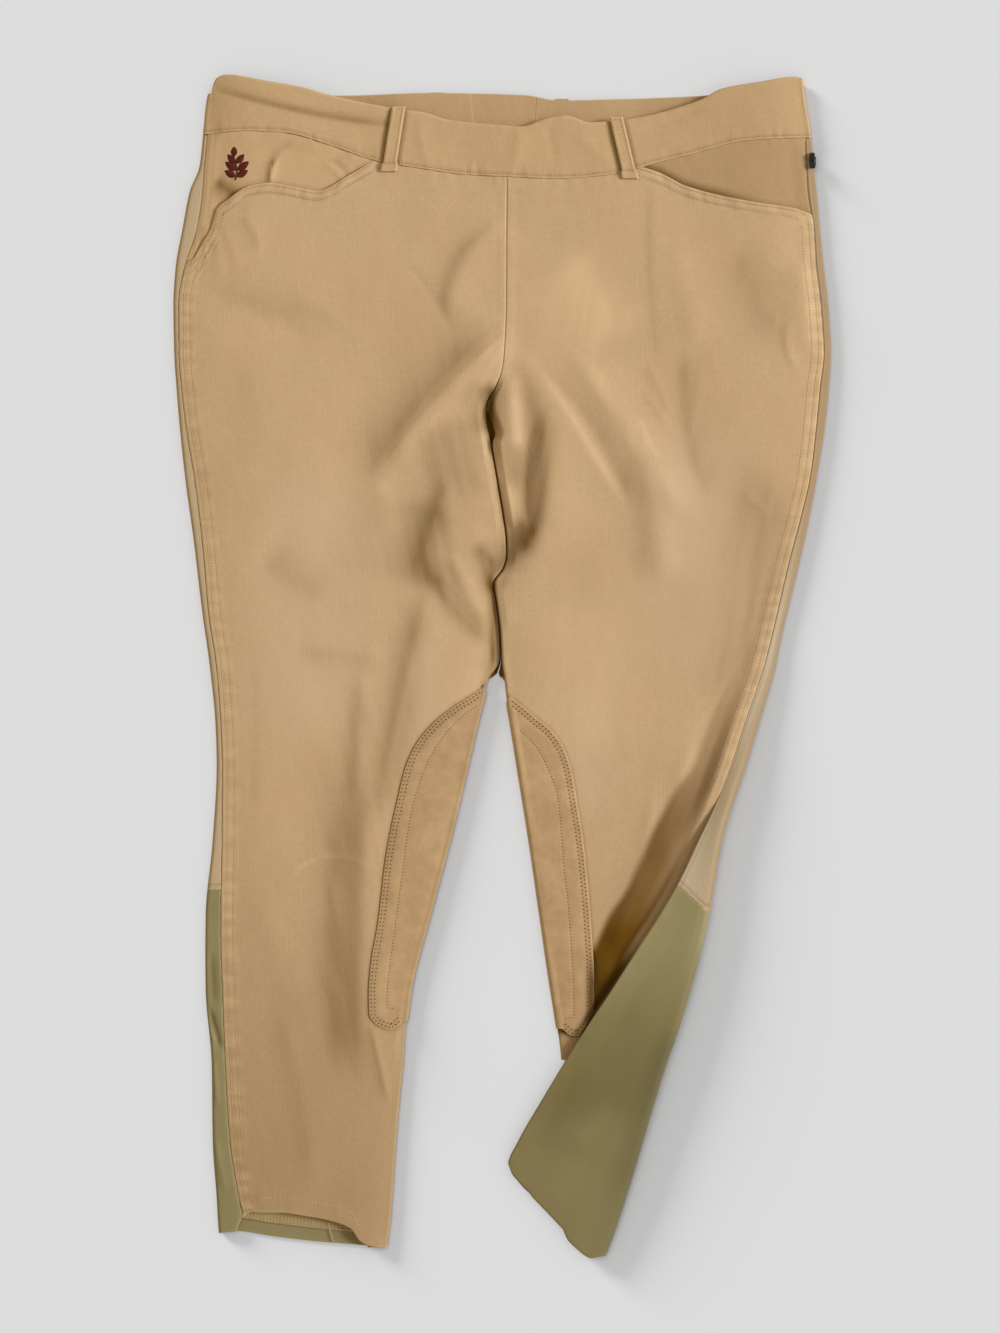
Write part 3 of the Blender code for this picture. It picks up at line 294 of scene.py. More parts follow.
# Folds: each runs from a to b, bowed by `bow` towards +X. west and east are the widths of its flanks,
# and turn is how softly its crest is rounded.
FOLDS = [  # ax, ay, bx, by, bow, west, east, turn, height
    (-1, 354, -42, 281, -9, 8, 40, 8, 2.6),
    (0, 260, -90, 160, -3, 24, 45, 2.5, 6.5),
    (0, 255, -28, 206, -2, 8, 18, 2.5, 1.2),
    (-10, 206, -14, 120, 1, 34, 14, 12, 4.6),
    (-42, 146, -64, 78, -1, 13, 35, 5, 4.8),
    (-56, 74, -10, 21, -1, 9, 30, 6, 3.8),
    (-14, 88, -3, 62, 0, 6, 6, 3, -3),
    (-60, 50, -96, -116, -2, 12, 40, 6, 3.8),
    (-111, -6, -117, -109, 1, 11, 20, 6, 2),
    (-106, -88, -112, -320, -2, 22, 30, 8, 5.2),
    (-200, -180, -130, -345, 4, 24, 24, 10, 1),
    (-98, 165, -92, 103, 0, 18, 15, 8, 1.4),
    (-240, 303, -150, 262, 0, 18, 18, 8, -1.8),
    (-206, 358, -194, 332, 2, 5, 7, 2, 0.9),
    (-167, 287, -129, 270, 2, 4, 6, 1.5, 0.6),
    (-158, 13, -98, 6, -2, 11, 16, 6, 1.4),
    (23, 238, 31, 93, 11, 14, 50, 12, 6.4),
    (4, 230, 8, 171, 0, 30, 8, 10, 4.6),
    (-2, 146, 5, 111, 0, 12, 6, 4.5, 4),
    (25, 240, 95, 128, 1, 40, 10, 2.5, 1.6),
    (64, 247, 146, 119, 1, 18, 24, 8, 3.2),
    (113, 158, 128, 69, 2, 20, 20, 9, 2.2),
    (146, 250, 158, 152, -3, 6, 24, 3, 1.2),
    (117.3, 237, 132.8, 202, -1, 2.4, 4, 1.5, 0.6),
    (115.6, 216, 131, 194, 0, 2.4, 4, 1.5, 0.6),
    (121, 384, 127, 249, -3, 5, 9, 2, 0.8),
    (138, 334, 158, 257, -2, 24, 20, 10, 1.8),
    (238, 322, 242, 254, 0, 36, 16, 10, 3),
    (20, 116, 5, 82, 5, 8, 13, 4, 2.2),
    (150, -60, 92, -210, 8, 14, 10, 5, 1.4),
    (-166, -163, -106, -159.5, -10, 1.8, 2.6, 1.2, 0.7),
    (-104, -288, -92, -346, 0, 8, 5, 2.5, 1.4),
    (-200, 0, -200, -110, 0, 5, 6, 2, -0.4),
    (-176, -280, -150, -420, 4, 14, 20, 6, 0.9),
    (122, -100, 84, -240, 4, 9, 8, 4, 0.9),
    (74, -262, 66, -312, 0, 4, 4, 2, 1),
    (228, 273, 236, 236, -4, 3, 6, 1.5, 0.9),
    (194, 138, 209, 122, 0, 4, 7, 2, 0.6),
    (-74, 320, -42, 273, 2, 2.6, 4, 1.4, -0.5),
    (-243, 350, -236, 322, 2, 3, 3, 1.5, 0.7),
    (-234, 344, -226, 312, 2, 3, 4, 1.5, 0.6),
    (-224, 352, -212, 318, 2, 3, 5, 1.5, 0.5),
    (-230, 372, -205, 362, 0, 4, 4, 2, -0.5),
]
SHADES = [  # painted shade in hollows and on flanks turned from the light, in the terms of the folds, with a depth of shade as their height; below 0, painted highlights on crests
    (-13, 265, -106, 154, -6, 33.7, 2.9, 5.7, 0.38),
    (-6, 256, -27, 207, -2, 6.8, 2, 1.2, -0.04),
    (-58, 190, -37, 129, -5, 8.7, 36.8, 14.4, 0.38),
    (-50, 130, -64, 63, 1, 45, 20.8, 5.6, 0.61),
    (-53, 71, -46, 50, 0, 2.9, 3.2, 1.6, 0.21),
    (-16, 98, -5, 59, -2, 9.6, 8.9, 6.5, 0.46),
    (-53, 73, -13, 21, 2, 6.2, 8.4, 4, 0.35),
    (-65, 49, -100, -125, 7, 14.4, 12.8, 7.9, 0.27),
    (-116, -20, -133, -148, 3, 11.9, 32.6, 8, 0.21),
    (-129, -135, -130, -322, -9, 10.9, 50, 6.2, 0.31),
    (-154, 13, -99, 3, 0, 14.3, 9.3, 5.9, 0.16),
    (-187, 87, -144, 56, -1, 9.1, 22.9, 12.8, 0.21),
    (-203, -1, -200, -111, -1, 4.3, 4.4, 2.2, 0.09),
    (-205, 357, -195, 335, 2, 3.6, 5.5, 1.8, 0.07),
    (-165, 289, -128, 270, 3, 3.2, 6, 1.9, 0.15),
    (-242, 300, -155, 287, -5, 15.5, 17.2, 9.1, 0.1),
    (-22, 342, -47, 281, -9, 5.8, 3.8, 2.7, 0.19),
    (-75, 321, -43, 273, 2, 2.5, 2.4, 1.2, 0.11),
    (-166, -164, -107, -160, -10, 2, 2, 1.2, -0.13),
    (-106, -290, -93, -346, 0, 2.9, 2.7, 1.8, 0.13),
    (-10, 77, -10, -12, 4, 6.6, 3, 2.7, 0.78),
    (-7, 225, -7, 185, -2, 14, 5, 3, 1.2),
    (29, 199, 24, 107, -6, 3, 19.5, 1.8, 0.6),
    (26, 113, -5, 74, 3, 22.8, 6.3, 6.4, 0.7),
    (35, 237, 103, 131, 8, 4.2, 18.6, 5, 0.27),
    (110, 167, 112, 74, 0, 17.9, 11.8, 8.2, 0.13),
    (147, 251, 161, 142, -3, 3.7, 23.8, 4.4, 0.26),
    (117, 238, 133, 202, 0, 2.3, 2.4, 1.2, 0.15),
    (115, 216, 132, 194, 0, 2.4, 2.4, 1.2, 0.03),
    (122, 383, 129, 251, -2, 2.5, 5.8, 1.9, 0.12),
    (110, 197, 125, 166, -1, 2.2, 2.9, 1.2, -0.12),
    (61, 248, 125, 138, 2, 8.5, 9.5, 4.5, -0.18),
    (-38, 92, -21, 63, -1, 3.1, 3.1, 2.2, -0.11),
    (-43, 83, -17, 32, 0, 4.4, 4.1, 3.9, 0.25),
    (-216, 247, -210, 117, 4, 17.4, 40.2, 12.8, 0.08),
    (-120, 231, -152, 62, 0, 32.8, 22.2, 13.2, -0.05),
    (53, 325, 98, 266, -4, 50, 18.7, 21, -0.14),
    (190, 333, 219, 263, -5, 18.2, 16.1, 10.2, 0.16),
    (59, 49, 71, -68, 4, 50, 50, 24.2, -0.06),
    (-8, 170, -4, 119, -2, 5.8, 3.8, 2.1, 0.21),
    (211, 151, 174, -28, 16, 47, 28.9, 9.8, 0.33),
    (-146, -62, -145, -178, 3, 15.1, 33, 8.6, 0.09),
    (-186, -242, -156, -399, 3, 13.3, 19.9, 7.8, 0.06),
    (-95, 150, -96, 97, -2, 8.6, 7.7, 5.1, -0.06),
    (30, 224, 18, 92, 10, 6, 12, 4, 0.16),
    (11, 216, 13, 176, 0, 6, 6, 4, -0.14),
    (11, 142, 13, 114, 0, 6, 6, 4, -0.14),
    (2, 168, 13, 148, 0, 6, 7, 3, 0.16),
    (4, 104, 28, 92, 0, 10, 6, 4, 0.2),
    (-4, 258, -87, 167, -4, 1.4, 2.2, 0.8, -0.26),
    (28, 240, 97, 130, 2, 4, 3, 2, -0.08),
    (134, 160, 140, 70, 0, 8, 10, 5, -0.04),
]
FADED = [  # cloth washed paler and greyer, in the same terms
    (150, 190, 175, -10, 0, 60, 40, 30, 0.9),
    (-150, 160, -160, -60, 0, 50, 60, 30, 0.6),
    (-60, 20, -70, -60, 0, 30, 30, 20, 0.4),
    (60, -20, 70, -120, 0, 30, 30, 20, 0.5),
]
FLAP_SHADE = [  # y, depth and width of the shade that the turned flap throws on the front beside it
    (60, 0, 20), (30, 0.12, 22), (12, 0.2, 24), (-30, 0.36, 27), (-75, 0.48, 31), (-108, 0.7, 38),
    (-150, 0.85, 40), (-190, 0.92, 41), (-214, 0.98, 37), (-238, 1.02, 34), (-262, 1.07, 33),
    (-292, 1.07, 33), (-300, 0.18, 8), (-316, 0.05, 5),
]
KNEE_PATCH = {
    "right": [
        (-15.6, 13.6), (-21.2, 20.8), (-32.4, 38.4), (-46, 55.2), (-61.2, 68), (-79.6, 76.8),
        (-104.4, 83.2), (-151.6, 92.8), (-206.8, 99.6), (-237.2, 104.8), (-262, 106.7), (-278, 106.4),
        (-286.8, 100.8), (-291.6, 90.4),
    ],
    "left": [
        (-24.4, 6), (-30, 13.6), (-41.6, 27.2), (-53.2, 40.8), (-68.4, 50.4), (-86, 56), (-109.2, 60),
        (-138.8, 64.8), (-167.6, 68), (-206, 71.2), (-251.6, 73.6), (-275.6, 73.6), (-290.8, 68.8),
        (-297.2, 61.6),
    ],
}
PATCH_INNER_ROW = {  # out, y of the inner row of stitching
    "right": [
        (17.6, -30.8), (32.4, -41.2), (47.2, -57.2), (56.8, -72.4), (64.8, -90.8), (72, -115.6), (76, -138),
        (79.6, -166.8), (82.4, -186), (86.4, -216.4), (91.2, -253.2), (92.5, -272), (91.5, -274),
        (84, -274.6),
    ],
    "left": [
        (14.4, -51.6), (28.8, -66.8), (38.4, -86), (44.8, -105.2), (48, -138.8), (50.4, -167.6),
        (52.8, -187.6), (56, -230.8), (57.6, -262.8), (57.6, -280), (56.6, -282), (48.6, -282.4),
    ],
}
BAND_SIDE = [  # the waistband's turned side: share of its radius outwards, share of half its height
    (0.42, 0.94), (0.62, 0.82), (0.78, 0.64), (0.91, 0.49), (1, 0.3), (1, 0.15), (1, 0),
]
BELT_LOOP_WIDTH = 11.0
BELT_LOOP_BOW = 1.1
BELT_LOOP_GAP = 0.25  # under a front belt loop's sewn ends
BELT_LOOPS_FRONT = {"right": ((-82.4, 446.8), (-90.6, 394.6)), "left": ((91.0, 438.4), (102.6, 388.8))}
BELT_LOOPS_BACK = {"right": (-52.0, 459.6, 406.0), "left": (48.0, 454.6, 402.0)}  # x, upper y, lower y

# How a front's grid is laid out.
ARC_STEPS = 14  # columns round the inner edge
EDGE_LEAD = 3.3  # the fine columns start this far before that edge
LEAST_COLUMN = 0.8
FADE_TOP_Y = 250.0  # rows are level between these two
FADE_HEM_Y = -380.0


def curve(table, column=1):
    """A smooth curve through one column of a table against its first, which never overshoots a knot."""
    at, value = np.array(sorted(table), float)[:, [0, column]].T
    slope = np.diff(value) / np.diff(at)
    tangent = np.zeros_like(value)
    tangent[0], tangent[-1] = slope[0], slope[-1]
    before, after = slope[:-1], slope[1:]
    same = before * after > 0
    tangent[1:-1][same] = 2 * before[same] * after[same] / (before + after)[same]

    def read(where):
        where = np.clip(where, at[0], at[-1])
        i = np.clip(np.searchsorted(at, where) - 1, 0, len(at) - 2)
        width = at[i + 1] - at[i]
        t = (where - at[i]) / width
        start = value[i] * (1 + 2 * t) * (1 - t) ** 2 + tangent[i] * width * t * (1 - t) ** 2
        end = value[i + 1] * t**2 * (3 - 2 * t) + tangent[i + 1] * width * t**2 * (t - 1)
        return start + end

    return read


def joined(*parts):
    """Points from their x, y and z, or across and along. Each part is spread over the whole grid."""
    return np.stack(np.broadcast_arrays(*parts), -1)


def smooth(t):
    """0 below 0, 1 above 1, and a cubic between that is level at both."""
    t = np.clip(t, 0, 1)
    return t * t * (3 - 2 * t)


def bell(distance, width):
    """1 at no distance, falling off on both sides as the exponential of the distance squared."""
    return np.exp(-((distance / width) ** 2))


def rolled(distance, width, depth):
    """A rounded edge: the surface drops by depth over the last width before the edge, like a quarter turn."""
    return -depth * (1 - np.clip(distance / width, 0, 1)) ** 2


def rise(distance, width):
    """0 at a tube's edge, 1 further in than width, steepest at the edge."""
    return 1 - (1 - np.clip(distance / width, 0, 1)) ** 2.4


def within(distance, reach, fade):
    """1 as far as reach, then falling smoothly to 0 over fade."""
    return 1 - smooth((distance - reach) / fade)


def row_marks(distance, rows, width=0.8):
    """A bell along each row of stitching, rows being their distances from the edge."""
    return sum(bell(distance - row, width) for row in rows)


def noise(u, v, size_u, size_v, seed):
    """Smooth heights from -1 to 1: random numbers on a lattice, blended by a cubic between its knots."""
    table = np.random.default_rng(seed).uniform(-1, 1, (61, 61))
    a, b = np.broadcast_arrays(u / size_u, v / size_v)
    i, j = np.floor(a).astype(int), np.floor(b).astype(int)
    s, t = smooth(a - i), smooth(b - j)

    def knot(right, up):
        return table[(i + right) % 61, (j + up) % 61]

    low = knot(0, 0) * (1 - s) + knot(1, 0) * s
    high = knot(0, 1) * (1 - s) + knot(1, 1) * s
    return low * (1 - t) + high * t


def undulation(x, y):
    """The slack of cloth that lies flat: three sizes of soft swells, the larger the higher."""
    swells = 0.75 * noise(x + 0.4 * y, y, 58, 84, 11) + 0.30 * noise(x, y - 0.5 * x, 27, 36, 12)
    return swells + 0.085 * noise(x + 0.3 * y, y, 9, 15, 13)


middle_x, middle_gap = curve(MIDDLE, 1), curve(MIDDLE, 2)
crotch_turn = curve(CROTCH_TURN)
band_seam_y, band_top_y = curve(BAND_SEAM), curve(BAND_TOP)
back_band_seam_y, back_band_top_y = curve(BACK_BAND_SEAM), curve(BACK_BAND_TOP)
back_hem_y = curve(BACK_HEM)
flap_sag = curve(FLAP_BULGE)
calf_shade, calf_edge_shade = curve(CALF_SHADE), curve(CALF_EDGE_SHADE)
flap_shade, flap_shade_width = curve(FLAP_SHADE, 1), curve(FLAP_SHADE, 2)


def fold_sum(table, x, y):
    """Sum of folds: each falls off exponentially from its bowed line, and fades out over its ends."""
    total = np.zeros(np.broadcast(x, y).shape)
    for ax, ay, bx, by, bow, west, east, turn, height in table:
        along_x, along_y = bx - ax, by - ay
        span = np.hypot(along_x, along_y)
        t = ((x - ax) * along_x + (y - ay) * along_y) / span**2
        across = ((x - ax) * -along_y + (y - ay) * along_x) / span
        across = np.where(along_y < 0, across, -across) - bow * 4 * t * (1 - t)
        width = np.where(across < 0, west, east)
        ends = smooth((t + 0.12) / 0.3) * smooth((1.12 - t) / 0.3)
        total = total + height * np.exp(-2.2 * (np.hypot(across, turn) - turn) / width) * ends
    return total


def loop_lift(x, y):
    """The back lies over its belt loops: raised across the middle of the waist, level again by the hips."""
    return LOOP_LIFT * smooth((118 - np.abs(x)) / 42) * smooth((y - 356) / 30)


def flap_bulge(share, y):
    """How far the flap's lower rows sag below straight ones."""
    return flap_sag(np.clip(share, 0, 1)) * smooth((FLAP_BULGE_Y - y) / (FLAP_BULGE_Y - FLAP_HEM_Y))


class Half:
    """The sections of one half of the breeches, right or left."""

    def __init__(self, side):
        self.side = side
        self.sign = SIDES[side]
        self.seam, self.edge = curve(OUTER[side], 1), curve(OUTER[side], 2)
        self.crown, self.inner_height = curve(CROWN[side]), curve(INNER_HEIGHT[side])
        self.fold_row, self.fold_height = curve(FOLD_ROWS[side]), curve(FOLD_HEIGHT[side])
        self.front_at_seam, self.tuck_share = curve(FRONT_AT_SEAM[side]), curve(TUCK_SHARE[side])
        self.flap_step, self.lap = curve(FLAP_STEP[side]), curve(FLAP_LAP[side])
        self.mouth_y = curve(POCKET_MOUTH[side])
        self.mouth_start = POCKET_MOUTH[side][0][0]
        self.band_seam = curve([(x * self.sign, y) for x, y in BAND_SEAM])
        self.patch_edge = curve(KNEE_PATCH[side])
        rows = [row[0] for row in KNEE_PATCH[side]]
        self.patch_top, self.patch_bottom = max(rows), min(rows)
        level = [(0, FRONT_END_Y[side]), (300, FRONT_END_Y[side])]
        self.hem_y = curve([(-x, y) for x, y in FRONT_HEM] if side == "right" else level)

    def top_y(self, out):
        """Upper edge of the front: the waistband's seam, then the pocket mouth."""
        under_band = self.band_seam(out) - BAND_GAP
        return np.where(out > self.mouth_start, np.minimum(self.mouth_y(out), under_band), under_band)

    def in_mouth(self, out):
        """1 where the front's upper edge is the pocket mouth, 0 where it is the waistband's seam."""
        return smooth((out - self.mouth_start) / 6)

    def sewn(self, y):
        """1 where the front is sewn to the back beside it, 0 where the back's turned flap lies over it."""
        return smooth((self.lap(y) + 0.15) / -2 + 1)

    def below_top(self, out, y):
        """Distance below the front's upper edge, square to it."""
        slope = self.top_y(out + 1) - self.top_y(out - 1)
        return (self.top_y(out) - y) / np.hypot(1, slope / 2)

    def inner(self, y):
        """Out of the front's inner edge, which stands back where the suede goes over it."""
        x = middle_x(y) if self.side == "right" else middle_x(y) + middle_gap(y)
        patched = smooth((self.patch_top + 30 - y) / 30) * smooth((y - self.patch_bottom + 30) / 30)
        return self.sign * x + patched * (PATCH_LIFT + PATCH_WALL)

    def turn(self, y):
        """0 where the fronts meet at the centre, 1 where each turns down its own inner edge."""
        return np.clip(crotch_turn(y), 0, 1)

    def inner_radius(self, y):
        return 0.02 + EDGE_RADIUS * self.turn(y)

    def tuck(self, y):
        return INSEAM_TUCK * np.clip(self.tuck_share(y), 0, 1)

    def inner_top(self, y):
        """Out of the line where the top of the leg starts to turn down."""
        return self.inner(y) + self.inner_radius(y)

    def climb(self, out, y):
        """How far the front climbs to lie level with the wrapped back beside the side seam."""
        return self.flap_step(y) * smooth((y + 152) / 62) * smooth((20 - self.seam(y) + out) / 13)

    def body_height(self, out, y):
        """Height of the front without its sewing: up from the seam to the crown, down to the inner edge."""
        at_seam = self.front_at_seam(y)
        z = at_seam + (self.crown(y) - at_seam) * rise(self.seam(y) - out, SIDE_RISE)
        inward = out - self.inner_top(y)
        z = z - self.turn(y) * (z - self.inner_height(y)) * (1 - rise(inward, INNER_RISE))
        near = smooth((self.seam(y) - out) / 14) * (1 - self.turn(y) * (1 - smooth(inward / 4)))
        x = self.sign * out
        relief = fold_sum(FOLDS, x, y) + undulation(x, y)
        return np.maximum(z + near * relief + self.climb(out, y), LEAST_HEIGHT)

    def sewing(self, out, y):
        """Relief of the sewing: raised allowances, furrows along stitching, puckers, and rolled edges."""
        from_seam = self.seam(y) - out
        puckers = 0.34 * noise(from_seam, y, 22, 3.8, 21) * bell(from_seam - 6, 6)
        seam = 0.2 * within(from_seam, 9.6, 5) - 0.12 * row_marks(from_seam, SIDE_ROWS, 0.9)
        z = self.sewn(y) * (seam + puckers + rolled(from_seam, 1.3, 0.35))

        centre = (1 - self.turn(y)) * smooth((y - 200) / 25)
        from_middle = out - self.inner(y)
        z = z + centre * rolled(from_middle, 1.2, 0.55)
        z = z + centre * (0.2 * within(from_middle, 3.5, 5))
        z = z + centre * 0.16 * noise(from_middle, y, 30, 6, 22) * bell(from_middle, 9)

        below, mouth = self.below_top(out, y), self.in_mouth(out)
        tight = 0.36 * noise(out + 0.3 * y, below, 3.8, 16, 23) * bell(below - 5, 6)
        z = z + mouth * (rolled(below, 1.2, 0.5) + 0.3 * within(below, 7.6, 3) + tight)
        z = z - mouth * 0.28 * row_marks(below, MOUTH_ROWS, 0.9)
        gathers = 0.30 * noise(out, below, 4, 26, 24) * bell(below, 10)
        z = z + (1 - mouth) * (gathers - 0.15 * bell(below, 1.0))
        if self.side == "right":
            above_hem = y - self.hem_y(out)
            hem = rolled(above_hem, 1.5, 0.8) + 0.35 * within(above_hem, 12.5, 3)
            hem = hem - 0.2 * bell(above_hem - HEM_ROW, 1.0)
            z = z + hem + 0.22 * noise(out, above_hem, 6, 22, 25) * bell(above_hem - 10, 9)
        return z

    def stitched(self, out, y):
        """1 along the furrows of the pocket mouth's stitching, half that along the side seam's."""
        seam = 0.5 * self.sewn(y) * row_marks(self.seam(y) - out, SIDE_ROWS)
        return np.maximum(seam, self.in_mouth(out) * row_marks(self.below_top(out, y), MOUTH_ROWS))

    def height(self, out, y):
        """Height of the front's outer face."""
        inward = out - self.inner_top(y)
        clear = 1 - self.turn(y) * (1 - smooth(inward / 5))
        return self.body_height(out, y) + clear * self.sewing(out, y)

    def arc_length(self, y):
        """Length of cloth round the inner edge: half a turn of the mean of its two radii."""
        half_height = self.body_height(self.inner_top(y), y) / 2
        return pi * (self.inner_radius(y) + half_height) / 2

    def inseam(self, y):
        """The unrolled place of the front's last thread: round the inner edge and on under the leg."""
        return self.inner_top(y) - self.arc_length(y) * self.turn(y) - self.tuck(y)

    def front_point(self, place, y):
        """(x, y, z) of an unrolled place: out on the top, then round the inner edge, then under the leg."""
        start = self.inner_top(y)
        arc = self.arc_length(y)
        half_height = self.height(start, y) / 2
        past = np.maximum(start - place, 0)
        angle = np.minimum(past / arc * pi, pi)
        under = np.maximum(past - arc, 0)
        out = np.maximum(place, start) - self.inner_radius(y) * np.sin(angle) + under
        crotch = self.turn(y) * smooth((y + 14) / 8) * (1 - smooth(under / 8))
        lower = self.inner_radius(y) * (1 - np.sin(angle)) * (angle > pi / 2)
        out = out - crotch * (lower + (middle_gap(y) / 2 - 0.006) * smooth((angle - 1.57) / 1.2))
        on_top = self.height(np.maximum(place, start), y)
        z = np.where(past > 0, half_height * (1 + np.cos(angle)), on_top)
        return joined(self.sign * out, y, z)

    def fold_radius(self, y):
        return np.minimum(self.fold_height(y) / 2, 5.0)

    def seam_height(self, y):
        """Height of the wrapped back at the side seam."""
        return self.front_at_seam(y) + self.flap_step(y)

    def strip_height(self, share, y):
        """Height of the wrapped back: from the seam, share 0, to the turn round the outer edge, share 1."""
        low, high = self.seam_height(y), self.fold_height(self.fold_row(y))
        return low + (high - low) * (0.35 * share + 0.65 * smooth(share))

    def strip_relief(self, share, y, width):
        """Relief of the wrapped back: a rolled edge, a raised allowance, puckers, and slack in the flap."""
        from_seam = share * width
        wide = smooth((width - 8) / 20)
        z = rolled(from_seam, 1.2, 0.35)
        z = z + wide * (0.15 * within(from_seam, 8.5, 6) + 0.7 * undulation(from_seam, y))
        z = z + (0.06 + 0.12 * wide) * noise(from_seam, y, 20, 5.5, 31) * bell(from_seam, 9)
        return z * (1 - smooth((share - 0.8) / 0.2))

    def back_point(self, share, y):
        """(x, y, z) of the wrapped back: share 0 to 1 on top, 1 to 2 round the edge, 2 to 3 underneath."""
        y_edge = self.fold_row(y)
        radius, half_height = self.fold_radius(y_edge), self.fold_height(y_edge) / 2
        turn_at = self.edge(y_edge) - radius
        along = np.clip(share, 0, 1)
        angle = np.clip(share - 1, 0, 1) * pi
        under = np.clip(share - 2, 0, 1)
        start = self.seam(y) + SEAM / 2
        out = start + (turn_at - start) * along + radius * np.sin(angle)
        out = out + (self.back_end(y_edge) - turn_at) * under
        row = y + (y_edge - y) * along
        on_top = self.strip_height(along, y) + self.strip_relief(along, y, np.maximum(turn_at - start, 0.1))
        z = np.where(share > 1, half_height * (1 + np.cos(angle)), on_top)
        x = self.sign * out
        return joined(x, row, z + np.where(share >= 2, loop_lift(x, row), 0))

    def back_end(self, y):
        """Out of the back's last thread under the tube: the centre seam, then the inseam."""
        turned = self.turn(y) * (self.inner_radius(y) + INSEAM_GAP)
        end = self.inner(y) + SEAM / 2 + turned + self.tuck(y)
        if self.side == "left":
            end = end + 4 * smooth((-265 - y) / 30)
            end = np.where(y < FRONT_END_Y["left"], self.seam(y) + 4, end)
        return end

    def band_end_x(self, y):
        """x where the waistband starts to turn down round this side."""
        return self.sign * (self.edge(y) - EDGE_RADIUS)


halves = {side: Half(side) for side in SIDES}


# ---- shader maths


class Signal:
    """A shader socket that Python's arithmetic works on: each operator adds one Math node."""

    def __init__(self, finish, socket):
        self.finish, self.socket = finish, socket

    def _with(self, operation, first, second):
        return self.finish.add("ShaderNodeMath", {"operation": operation}, {0: first, 1: second})

    def __add__(self, other):
        return self._with("ADD", self, other)

    def __sub__(self, other):
        return self._with("SUBTRACT", self, other)

    def __mul__(self, other):
        return self._with("MULTIPLY", self, other)

    def __radd__(self, other):
        return self._with("ADD", other, self)

    def __rsub__(self, other):
        return self._with("SUBTRACT", other, self)

    def __rmul__(self, other):
        return self._with("MULTIPLY", other, self)


class Finish:
    """One material. add() makes any node, and the other methods name the few that are used often."""

    def __init__(self, name, slot):
        self.material = bpy.data.materials.new(name)
        self.material.use_nodes = True
        self.slot = slot
        self.tree = self.material.node_tree
        self.shader = self.tree.nodes["Principled BSDF"]

    def add(self, kind, settings=None, inputs=None, output=0):
        """A node of any kind, with its settings and its sockets' values or links. Gives one output."""
        node = self.tree.nodes.new(kind)
        for key, value in (settings or {}).items():
            setattr(node, key, value)
        for key, value in (inputs or {}).items():
            self.put(node.inputs[key], value)
        return Signal(self, node.outputs[output])

    def put(self, socket, value):
        if isinstance(value, Signal):
            self.tree.links.new(value.socket, socket)
        else:
            socket.default_value = value

    def set(self, **values):
        """Inputs of the surface shader: base_color stands for Base Color, and so on."""
        for key, value in values.items():
            name = " ".join(word.capitalize() for word in key.split("_")).replace("Ior", "IOR")
            self.put(self.shader.inputs[name], with_alpha(value))

    def cloth_place(self, across=1.0, along=1.0, turn=0.0):
        """The piece's own cloth map in metres, scaled across and along its threads, then turned."""
        place = self.add("ShaderNodeUVMap", {"uv_map": "cloth"})
        inputs = {"Vector": place, "Scale": (across, along, 1), "Rotation": (0, 0, turn)}
        return self.add("ShaderNodeMapping", {}, inputs)

    def object_place(self):
        return self.add("ShaderNodeTexCoord", output=3)

    def noise(self, scale, detail=2.0, roughness=0.5, place=None):
        """Soft clouds from 0 to 1, on the object's own place if no other is given."""
        inputs = {"Vector": place or self.object_place(), "Scale": scale}
        inputs |= {"Detail": detail, "Roughness": roughness}
        return self.add("ShaderNodeTexNoise", {}, inputs)

    def bands(self, place, scale, distortion=0.0, detail_scale=1.0):
        inputs = {"Vector": place, "Scale": scale, "Distortion": distortion, "Detail": 1}
        inputs["Detail Scale"] = detail_scale
        return self.add("ShaderNodeTexWave", {"wave_type": "BANDS", "wave_profile": "SIN"}, inputs)

    def mask(self, name):
        """One of the numbers that add_mask stores for each vertex."""
        return self.add("ShaderNodeAttribute", {"attribute_name": name}, output=2)

    def mixed(self, share, first, second):
        """first where share is 0, second where it is 1."""
        settings = {"data_type": "RGBA", "clamp_factor": True}
        inputs = {0: share, 6: with_alpha(first), 7: with_alpha(second)}
        return self.add("ShaderNodeMix", settings, inputs, output=2)

    def layered(self, shade, share, base, factor, warmth=0.0):
        """shade, turned by share to a toned base."""
        return self.mixed(share, shade, toned(base, factor, warmth))

    def in_painted_shade(self, shade, base):
        """shade, turned by the painted shade mask to the tone of cloth in shade, and on towards black where
        that mask goes past 1.
        """
        deep = self.mask("deep")
        shade = self.mixed(deep, shade, in_painted_shade(base))
        return self.mixed((deep - 1.0) * 5.0, shade, (0.0, 0.0, 0.0))

    def between(self, value, low, high, to_low=0.0, to_high=1.0):
        """value from low to high, stretched to run from to_low to to_high and held there beyond."""
        inputs = {0: value, 1: low, 2: high, 3: to_low, 4: to_high}
        return self.add("ShaderNodeMapRange", {"clamp": True}, inputs)

    def bump(self, height, distance, normal=None):
        inputs = {"Height": height, "Strength": 1.0, "Distance": distance}
        if normal is not None:
            inputs["Normal"] = normal
        return self.add("ShaderNodeBump", {}, inputs)


def with_alpha(value):
    """A colour as a socket takes it. Anything else stays as it is."""
    return (*value, 1) if isinstance(value, tuple) else value


def toned(base, factor, warmth=0.0):
    """A colour made lighter or darker; warmth above 0 raises its red and lowers its blue."""
    red, green, blue = base
    return (min(red * factor * (1 + warmth), 1), min(green * factor, 1), min(blue * factor * (1 - warmth), 1))


def in_painted_shade(base):
    """The tone painted where cloth lies in shade and only light from other cloth reaches it: dark and warm.
    """
    return tuple(part * share for part, share in zip(base, (0.215, 0.146, 0.02)))


